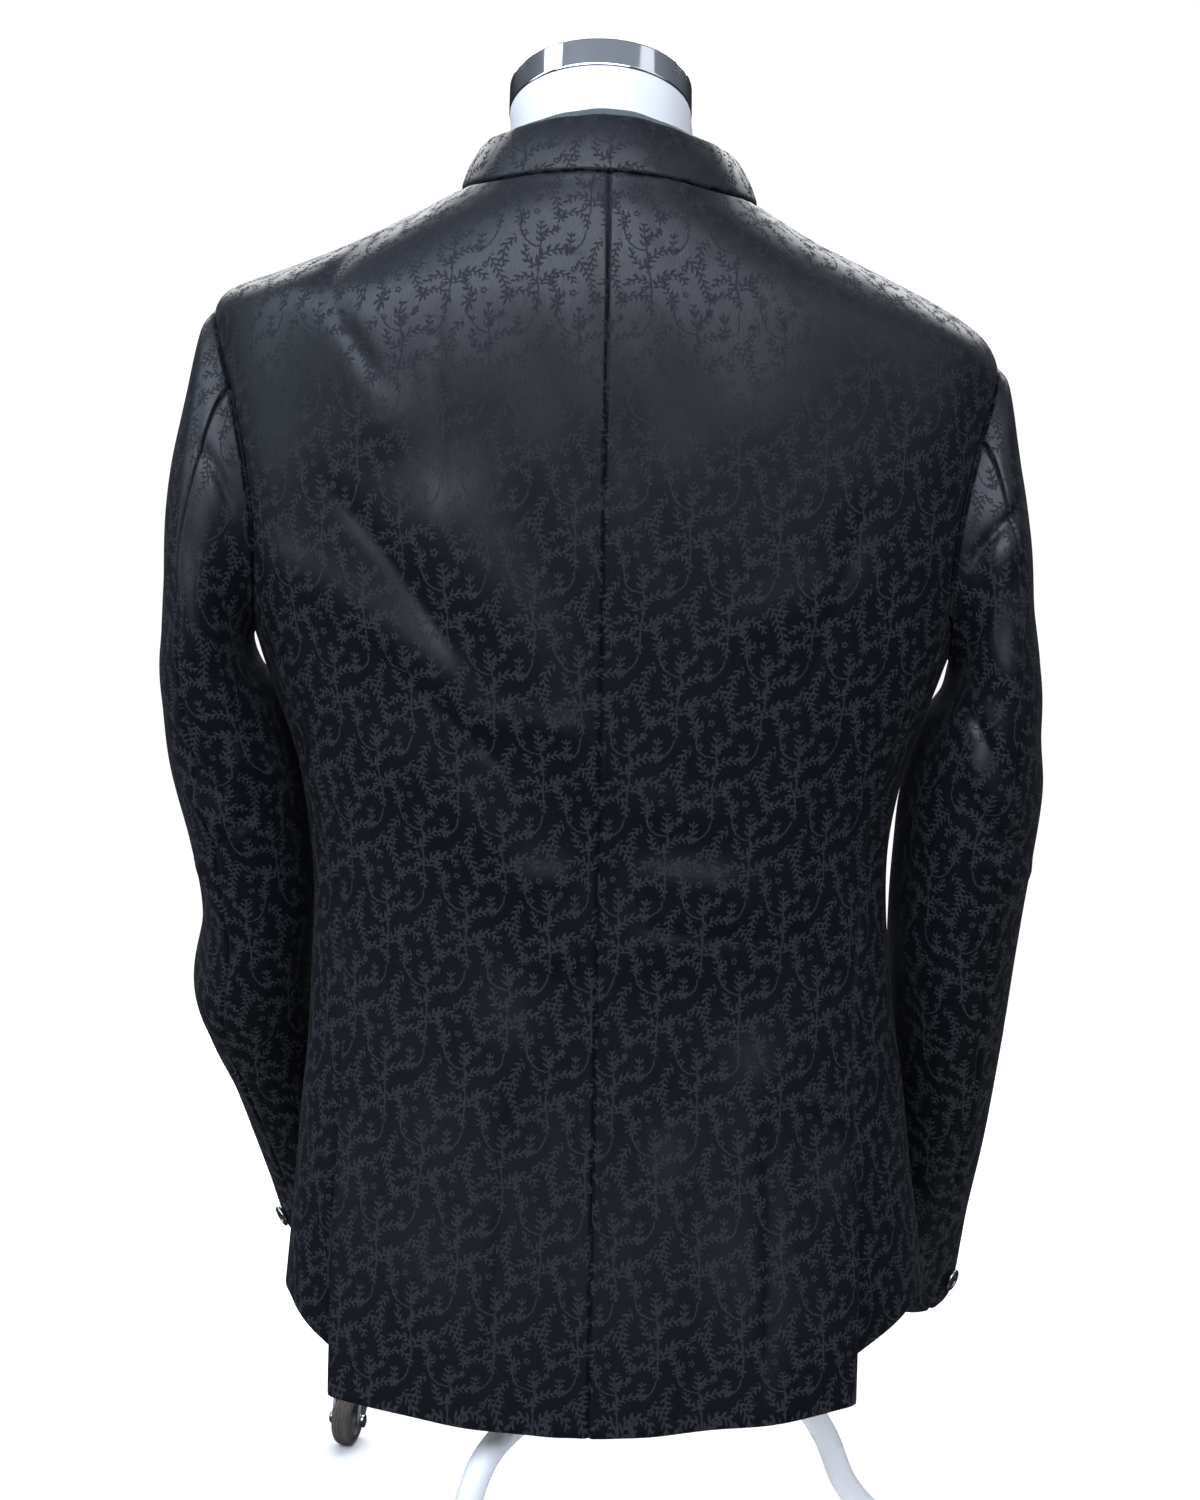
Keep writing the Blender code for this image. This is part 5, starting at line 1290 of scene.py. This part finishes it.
# a leg's line from the hub: reach and height
legLine = np.array([(0.0400, 0.1925), (0.0900, 0.1925), (0.1330, 0.1830), (0.1580, 0.1520), (0.1760, 0.1120),
                    (0.2050, 0.0880), (0.2700, 0.0800), (0.3420, 0.0790)])
castor = {"wheelRadius": 0.0200, "tyreWidth": 0.0160, "rimRadius": 0.0135, "axleRadius": 0.0030,
          "trail": 0.0140, "forkInner": 0.0098, "forkPlate": 0.0022, "turns": (75.0, 200.0, -35.0),
          "stem": 0.0040, "stemTop": 0.0800, "grooves": 3, "groovePitch": 0.0026, "hub": 0.0065,
          "boltHead": 0.0052}


def makeCap():
    edge, top, radius, flat = cap["edge"], cap["height"], cap["radius"], cap["radius"] - cap["rim"]
    profile = [(0.0, top), (flat, top), (radius, top), (radius, top - edge * 1.4), (radius, top * 0.5),
               (radius, edge * 1.4), (radius, 0.0), (flat, 0.0), (0.0, 0.0)]
    mesh = turnedMesh("neck_cap_chrome", rounded(profile, edge, 5), 120)
    tilt = Matrix.Rotation(neckTilt, 4, "X")
    place = Matrix.Translation(Vector(form["neckTop"]) + tilt @ Vector((0.0, 0.0, gap))) @ tilt
    finishPiece(mesh, place, "chrome", standBody, "neck_cap")


def sweptTube(name, line, radius, steps):
    # a tube along a line of points, closed at its ends
    points = [Vector(p) for p in line]
    angles = [2 * math.pi * j / steps for j in range(steps)]
    rings = []
    side = None
    for k, point in enumerate(points):
        way = (points[min(k + 1, len(points) - 1)] - points[max(k - 1, 0)]).normalized()
        side = (way.orthogonal() if side is None else side - way * side.dot(way)).normalized()
        up = way.cross(side)
        rings.append([point + (side * math.cos(angle) + up * math.sin(angle)) * radius for angle in angles])
    verts = [tuple(p) for ring in rings for p in ring]
    faces = [(low + j, low + (j + 1) % steps, low + steps + (j + 1) % steps, low + steps + j)
             for low in range(0, len(verts) - steps, steps) for j in range(steps)]
    faces += [tuple(range(steps)), tuple(range(len(verts) - steps, len(verts)))]
    return newMesh(name, verts, faces)


def makeStand():
    top, pipe, foot = form["bottom"] - gap, stand["poleRadius"], stand["hubTop"] + gap
    profile = [(0.0, top), (stand["flange"], top), (stand["flange"], top - 0.005),
               (pipe + 0.006, top - 0.009), (pipe, top - 0.020), (pipe, foot), (0.0, foot)]
    mesh = turnedMesh("pole_painted", rounded(profile, 0.0012), 56)
    finishPiece(mesh, Matrix(), "standWhite", standBody, "pole")
    radius, low, high = stand["hubRadius"], stand["hubBottom"], stand["hubTop"]
    profile = [(0.0, high), (pipe + 0.006, high), (radius, high - 0.008), (radius, low + 0.006),
               (radius - 0.006, low), (0.0, low)]
    mesh = turnedMesh("hub_painted", rounded(profile, 0.0030), 64)
    finishPiece(mesh, Matrix(), "standWhite", standBody, "hub")
    rows = readTable(legLine, np.linspace(0.0, len(legLine) - 1, 57))
    start = (stand["hubRadius"] + gap, legLine[0, 1])
    end = (stand["legReach"] - stand["socketRadius"] - gap, legLine[-1, 1])
    rows = np.concatenate([[start], rows, [end]])
    for number in range(1, 4):
        heading = math.radians(stand["legTurn"] + 120.0 * (number - 1))
        line = [(reach * math.cos(heading), reach * math.sin(heading), z) for reach, z in rows]
        mesh = sweptTube(f"leg_{number}_painted", line, stand["legRadius"], 28)
        finishPiece(mesh, Matrix(), "standWhite", standBody, f"leg_{number}")
        makeCastor(number, heading)


def socketProfile():
    bore, end = castor["stem"] + gap, castor["stemTop"] + gap
    outer, low, high = stand["socketRadius"], stand["socketBottom"], stand["socketTop"]
    collar = outer - 0.0006
    return rounded([(0.0, high), (outer - 0.002, high), (outer, high - 0.002), (outer, low + 0.006),
                    (collar, low + 0.005), (collar, low), (bore, low), (bore, end), (0.0, end)], 0.0012)


def tyreProfile(half):
    # fine grooves round the tread
    radius, inner, pitch = castor["wheelRadius"], castor["rimRadius"] + gap, castor["groovePitch"]
    tread = [(radius - 0.0010, half - 0.0025)]
    for k in range(castor["grooves"]):
        middle = (k - (castor["grooves"] - 1) / 2.0) * -pitch
        crown = radius - 0.00006 * (middle / pitch) ** 2
        tread += [(crown, middle + 0.0006), (crown - 0.0005, middle + 0.0003),
                  (crown - 0.0005, middle - 0.0003), (crown, middle - 0.0006)]
    tread.append((radius - 0.0010, -half + 0.0025))
    profile = [(inner, half - 0.0010), (radius - 0.0036, half - 0.0002), *tread,
               (radius - 0.0036, -half + 0.0002), (inner, -half + 0.0010), (inner, 0.0)]
    return [profile[-1], *rounded(profile[:-1], 0.0006, 3)]


def rimProfile(half):
    hole, web, hub, outer = castor["axleRadius"] + gap, half - 0.0030, castor["hub"], castor["rimRadius"]
    upper = [(hole, half + 0.0008), (hub, half + 0.0008), (hub, web), (outer - 0.0016, web),
             (outer - 0.0010, half - 0.0014), (outer, half - 0.0014)]
    lower = [(radius, -height) for radius, height in reversed(upper)]
    return [(hole, 0.0), *rounded(upper + lower, 0.0005, 3)]


def boltProfile():
    # a domed head at one end and a riveted one at the other: share of the head's radius, height
    end = castor["forkInner"] + castor["forkPlate"] + gap
    head, shaft = castor["boltHead"], castor["axleRadius"]
    dome = [(0.0, 0.0030), (0.35, 0.00288), (0.68, 0.0024), (0.92, 0.0014), (1.0, 0.0004), (1.0, 0.0)]
    return rounded([*((head * share, end + height) for share, height in dome), (shaft, end), (shaft, -end),
                    (head, -end), (head, -end - 0.0022), (0.0, -end - 0.0022)], 0.0004, 3)


def makeCastor(number, heading):
    reach, half = stand["legReach"], castor["tyreWidth"] / 2.0
    swivel = Matrix.Translation((reach * math.cos(heading), reach * math.sin(heading), 0.0))
    turn = swivel @ Matrix.Rotation(math.radians(castor["turns"][number - 1]), 4, "Z")
    axle = (turn @ Matrix.Translation((castor["trail"], 0.0, castor["wheelRadius"]))
            @ Matrix.Rotation(math.pi / 2.0, 4, "X"))
    wheel, fork = f"wheel_{number}", f"fork_{number}"
    # part, ending of its name, profile, steps round, closed, place, material, body, slot, sharp angle
    for part, ending, profile, steps, closed, place, material, body, slot, sharp in (
            ("socket", "tan", socketProfile(), 40, False, swivel, "socketTan", standBody, "socket_tan", 38.0),
            ("tyre", "rubber", tyreProfile(half), 72, True, axle, "tyreRubber", wheel, "tyre_rubber", 30.0),
            ("rim", "grey", rimProfile(half), 56, True, axle, "rimGrey", wheel, "rim_grey", 38.0),
            ("axle", "zinc", boltProfile(), 40, False, axle, "axleZinc", fork, "axle_zinc", 38.0)):
        node = f"castor_{part}_{number}"
        mesh = turnedMesh(f"{node}_{ending}", profile, steps, closed)
        if part == "tyre":
            reaches = np.array([math.hypot(v.co.x, v.co.y) for v in mesh.vertices])
            wear = mesh.attributes.new("tread", "FLOAT", "POINT")
            wear.data.foreach_set("value", smoothStep((reaches - castor["wheelRadius"] + 0.0026) / 0.0016))
        finishPiece(mesh, place, material, body, node, sharp)
    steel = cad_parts[f"castor_fork_{number}"]           # the fork's shape is right as it is
    steel.data.materials.clear()
    steel.data.materials.append(materials["forkSteel"])


makeCap()
makeStand()
print("cap, stand and castors made")


# buttons: a dark domed face in a silvery rim, on a shank
buttons = {"front": 0.0090, "cuff": 0.0078, "waistcoat": 0.0060, "frontRows": (4, 6, 8, 10, 13, 17),
           "waistcoatRows": (1, 2, 3, 4, 6), "cuffRing": 11.7, "shank": 0.0020, "shankLength": 0.0010,
           "thickness": 0.42, "rimStart": 0.675}
# a button's profile: share of its radius and of its thickness
buttonProfile = [(0.0, 0.70), (0.30, 0.70), (0.58, 0.62), (0.66, 0.60), (0.70, 0.84), (0.80, 1.0),
                 (0.94, 0.86), (1.0, 0.60), (0.96, 0.30), (0.86, 0.0)]


def makeButton(node, point, normal, radius):
    thick, shank, below = radius * buttons["thickness"], buttons["shank"], -buttons["shankLength"]
    profile = [(radius * across, thick * height) for across, height in buttonProfile]
    profile += [(shank, 0.0), (shank, below), (0.0, below)]
    mesh = turnedMesh(node + "_dark", rounded(profile, radius * 0.05, 3), 48)
    mesh.materials.append(materials["buttonDark"])
    mesh.materials.append(materials["buttonRim"])
    for face in mesh.polygons:                                   # the second material is the rim's
        reach = math.hypot(face.center.x, face.center.y)
        face.material_index = int(reach > radius * buttons["rimStart"] and face.center.z > thick * 0.05)
    foot = Vector(point) + Vector(normal) * (gap - below)
    place = Matrix.Translation(foot) @ Vector(normal).to_track_quat("Z", "Y").to_matrix().to_4x4()
    finishPiece(mesh, place, None, standBody, node, 50.0)


def buttonLevels(count, values, rows, start=0.0, join=jacket["join"]):
    # the heights of the buttons, at the rows the solids are cut to
    low, high = values["underarm"], values["tip"]
    top = float(armholeLevel(join, low, high))
    heights = [start + (top - start) * k / count for k in range(count)]
    heights += [float(armholeLevel(join - 22.5 * k, low, high)) for k in range(int(join / 22.5) + 1)]
    return [heights[k] for k in rows]


def makeButtons():
    frontLevels = buttonLevels(11, jacket, buttons["frontRows"])
    innerLevels = buttonLevels(5, waistcoat, buttons["waistcoatRows"], waistcoat["hem"], 180.0)
    for kind, skin, values, places in (("front", jacketSkin, jacket, frontLevels),
                                       ("waistcoat", waistcoatSkin, waistcoat, innerLevels)):
        lift = values["wall"] + jacket["layerGap"]
        for number, level in enumerate(places, 1):
            point, normal = skin(lapDip(np.array([level])), np.array([180.0]), lift)
            makeButton(f"{kind}_button_{number}", point[0], normal[0], buttons[kind])
    for side, word in sides:
        phi = np.array([sleeve["seam"] - 22.5])
        low, high = (sleevePoint(side, np.array([ring]), phi)[0] for ring in (lastRing, lastRing - 1.0))
        normal = sleeveNormal(side, np.array([lastRing]), phi)[0]
        along = (high - low) / np.linalg.norm(high - low)
        normal = unit(normal - along * (normal @ along))
        point = low + (high - low) * (lastRing - buttons["cuffRing"])
        makeButton("cuff_button_" + word, point, normal, buttons["cuff"])


makeButtons()
print("buttons made")


# pockets: a welt on the left breast and a flap on each hip, laid on the fronts
# level and turn at the inner end, the same at the outer end, height in levels
pockets = {
    "breast_welt_left": (1.0, 5.32, 154.0, 5.42, 128.0, 0.30),
    "hip_flap_left": (1.0, 1.95, 154.0, 1.95, 113.0, 0.62),
    "hip_flap_right": (-1.0, 1.95, 154.0, 1.95, 113.0, 0.62),
}


def pocketSurface(side, innerLevel, innerTurn, outerLevel, outerTurn, height):
    def surface(up, across):
        turn = innerTurn + (outerTurn - innerTurn) * across
        top = innerLevel + (outerLevel - innerLevel) * across
        lift = cloths["pocket"]["wall"] + 2.0 * jacket["layerGap"]
        return jacketSkin(top - height * (1.0 - up), side * turn, lift)
    return surface


for pocketName, row in pockets.items():
    makeCloth(pocketName, pocketSurface(*row), ("fold", "seam", "fold", "fold"), "pocket", (5, 9),
              mirror=row[0], shift=(0.012, 0.004))
print("pockets laid on")


# stitches: one tree sets thread stitches along every line that it is given
stitching = {"pitch": 0.0062, "length": 0.0024, "thread": 0.00026, "uneven": 0.12, "seed": 7,
             "holePitch": 0.00075, "holeLength": 0.0015, "holeReach": 0.0125, "holeWidth": 0.0013,
             "holeShift": 0.004, "fromEdge": 0.0060, "proud": 0.0001}


def makeStitchTree():
    tree = bpy.data.node_groups.new("stitchLine", "GeometryNodeTree")
    tree.is_modifier = True
    # name, kind, default and least value of each input
    for label, kind, value, least in (("Lines", "Geometry", None, None), ("Pitch", "Float", 0.006, 0.0003),
                                      ("Length", "Float", 0.0024, 0.0001),
                                      ("Thread Radius", "Float", 0.00026, 0.00005),
                                      ("Uneven", "Float", 0.1, 0.0), ("Seed", "Int", 7, 0),
                                      ("Material", "Material", None, None)):
        socket = tree.interface.new_socket(name=label, in_out="INPUT", socket_type="NodeSocket" + kind)
        if value is not None:
            socket.default_value = value
            socket.min_value = least
    tree.interface.new_socket(name="Stitches", in_out="OUTPUT", socket_type="NodeSocketGeometry")
    given = tree.nodes.new("NodeGroupInput").outputs
    result = tree.nodes.new("NodeGroupOutput").inputs

    curve = placeNode(tree, "GeometryNodeMeshToCurve", {"Mesh": given["Lines"]}).outputs[0]
    spaces = {"Curve": curve, "Length": given["Pitch"]}
    spots = placeNode(tree, "GeometryNodeResampleCurve", spaces, mode="LENGTH")
    tangent = placeNode(tree, "GeometryNodeInputTangent").outputs[0]
    way = placeNode(tree, "FunctionNodeAlignRotationToVector", {"Vector": tangent}, axis="Z")
    ball = placeNode(tree, "GeometryNodeMeshUVSphere", {"Segments": 8, "Rings": 7, "Radius": 1.0})
    radius, halfLength = given["Thread Radius"], Value(tree, given["Length"]) * 0.5
    shape = placeNode(tree, "ShaderNodeCombineXYZ", {"X": radius, "Y": radius, "Z": halfLength}).outputs[0]
    thin = {"Geometry": ball.outputs["Mesh"], "Scale": shape}
    stitch = placeNode(tree, "GeometryNodeTransform", thin).outputs[0]
    uneven = placeNode(tree, "FunctionNodeRandomValue", data_type="FLOAT")
    one, share = Value(tree, 1.0), Value(tree, given["Uneven"])
    for label, value in (("Min", one - share), ("Max", one + share), ("Seed", given["Seed"])):
        plug(tree, next(s for s in uneven.inputs if s.name == label and s.enabled), value)
    size = next(s for s in uneven.outputs if s.enabled)
    placed = placeNode(tree, "GeometryNodeInstanceOnPoints", {
        "Points": spots.outputs[0], "Instance": stitch, "Rotation": way.outputs[0], "Scale": size}).outputs[0]
    real = placeNode(tree, "GeometryNodeRealizeInstances", {"Geometry": placed}).outputs[0]
    coloured = placeNode(tree, "GeometryNodeSetMaterial", {"Geometry": real, "Material": given["Material"]})
    tree.links.new(coloured.outputs[0], result["Stitches"])
    layOut(tree)
    return tree


stitchTree = makeStitchTree()


def sewStitches(name, lines, pitch, length):
    points, edges = [], []
    for line in lines:
        edges += [(len(points) + k, len(points) + k + 1) for k in range(len(line) - 1)]
        points += [tuple(p) for p in line + pole]
    guide = addObject(name + "_guide", newMesh(name, points, [], edges))
    modifier = guide.modifiers.new("stitches", "NODES")
    modifier.node_group = stitchTree
    values = {"Pitch": pitch, "Length": length, "Thread Radius": stitching["thread"],
              "Uneven": stitching["uneven"], "Seed": stitching["seed"], "Material": materials["thread"]}
    for socket in stitchTree.interface.items_tree:
        if socket.item_type == "SOCKET" and socket.in_out == "INPUT" and socket.name in values:
            modifier[socket.identifier] = values[socket.name]
    bpy.context.view_layer.update()
    made = bpy.data.meshes.new_from_object(guide.evaluated_get(bpy.context.evaluated_depsgraph_get()))
    guide.modifiers.clear()
    bpy.data.objects.remove(guide)
    made.name = name
    made.shade_smooth()
    declare(addObject(name, made), standBody)
    print("  " + name + ":", len(made.polygons), "faces")


def lineOn(surface, up, across):
    # a line of the surface, just clear of it
    up, across = np.broadcast_arrays(np.asarray(up, float), np.asarray(across, float))
    points, normals = surface(up, across)
    return points + normals * stitching["proud"]


def stitchLines():
    # 6 mm in from the front edge and the collar's top edge, and round the pockets
    edge = stitching["fromEdge"]
    frontWidth, collarHeight = 0.19, 0.034
    lines = [lineOn(frontSurface(1.0), np.linspace(0.006, 0.992, 260), 1.0 - edge / frontWidth),
             lineOn(collarSurface(False), 1.0 - edge / collarHeight, np.linspace(0.016, 0.984, 260))]
    for name, row in pockets.items():
        if name.startswith("hip"):
            rise, over = np.linspace(0.12, 0.97, 24), np.linspace(0.045, 0.955, 60)
            up = np.concatenate([rise[::-1], np.full(over.shape, 0.12), rise])
            across = np.concatenate([np.full(rise.shape, 0.045), over, np.full(rise.shape, 0.955)])
            lines.append(lineOn(pocketSurface(*row), up, across))
        else:
            lines.append(lineOn(pocketSurface(*row), np.linspace(0.08, 0.92, 12), 0.035))
    return lines


def holeLines():
    # a buttonhole round each front button, worked in close stitches
    lines = []
    angle = np.linspace(0.0, 2.0 * math.pi, 120)
    lift = jacket["wall"] + jacket["layerGap"] + stitching["proud"] / 2.0
    for level in buttonLevels(11, jacket, buttons["frontRows"]):
        across = stitching["holeReach"] * np.clip(np.cos(angle) * 1.6, -1.0, 1.0)
        height = stitching["holeWidth"] * np.clip(np.sin(angle) * 1.6, -1.0, 1.0)
        perLevel = np.linalg.norm(bodyPoint(level + 0.05, 180.0) - bodyPoint(level - 0.05, 180.0)) / 0.1
        perTurn = np.linalg.norm(bodyPoint(level, 181.0) - bodyPoint(level, 179.0)) / 2.0
        row = lapDip(np.full(angle.shape, level)) + height / perLevel
        lines.append(jacketSkin(row, 180.0 - stitching["holeShift"] / perTurn + across / perTurn, lift)[0])
    return lines


sewStitches("edge_stitches", stitchLines(), stitching["pitch"], stitching["length"])
sewStitches("buttonhole_stitches", holeLines(), stitching["holePitch"], stitching["holeLength"])
print("stitches sewn")


# floor
floorRadius = 1.75


def makeFloor():
    mesh = turnedMesh("floor", [(0.0, 0.0), (floorRadius, 0.0)], 96)
    mesh.transform(Matrix.Translation((pole[0], pole[1], 0.0)))
    if mesh.polygons[0].normal.z < 0.0:
        mesh.flip_normals()
    mesh.materials.append(materials["floor"])
    ground = addObject("floor", mesh)
    ground.visible_glossy = False


makeFloor()
bpy.context.view_layer.update()
for sheetName, width, length, area, triangles in sheets:
    print(f"  {sheetName}: {width} by {length} m, {area} m2, {triangles} triangles")
print("all made")
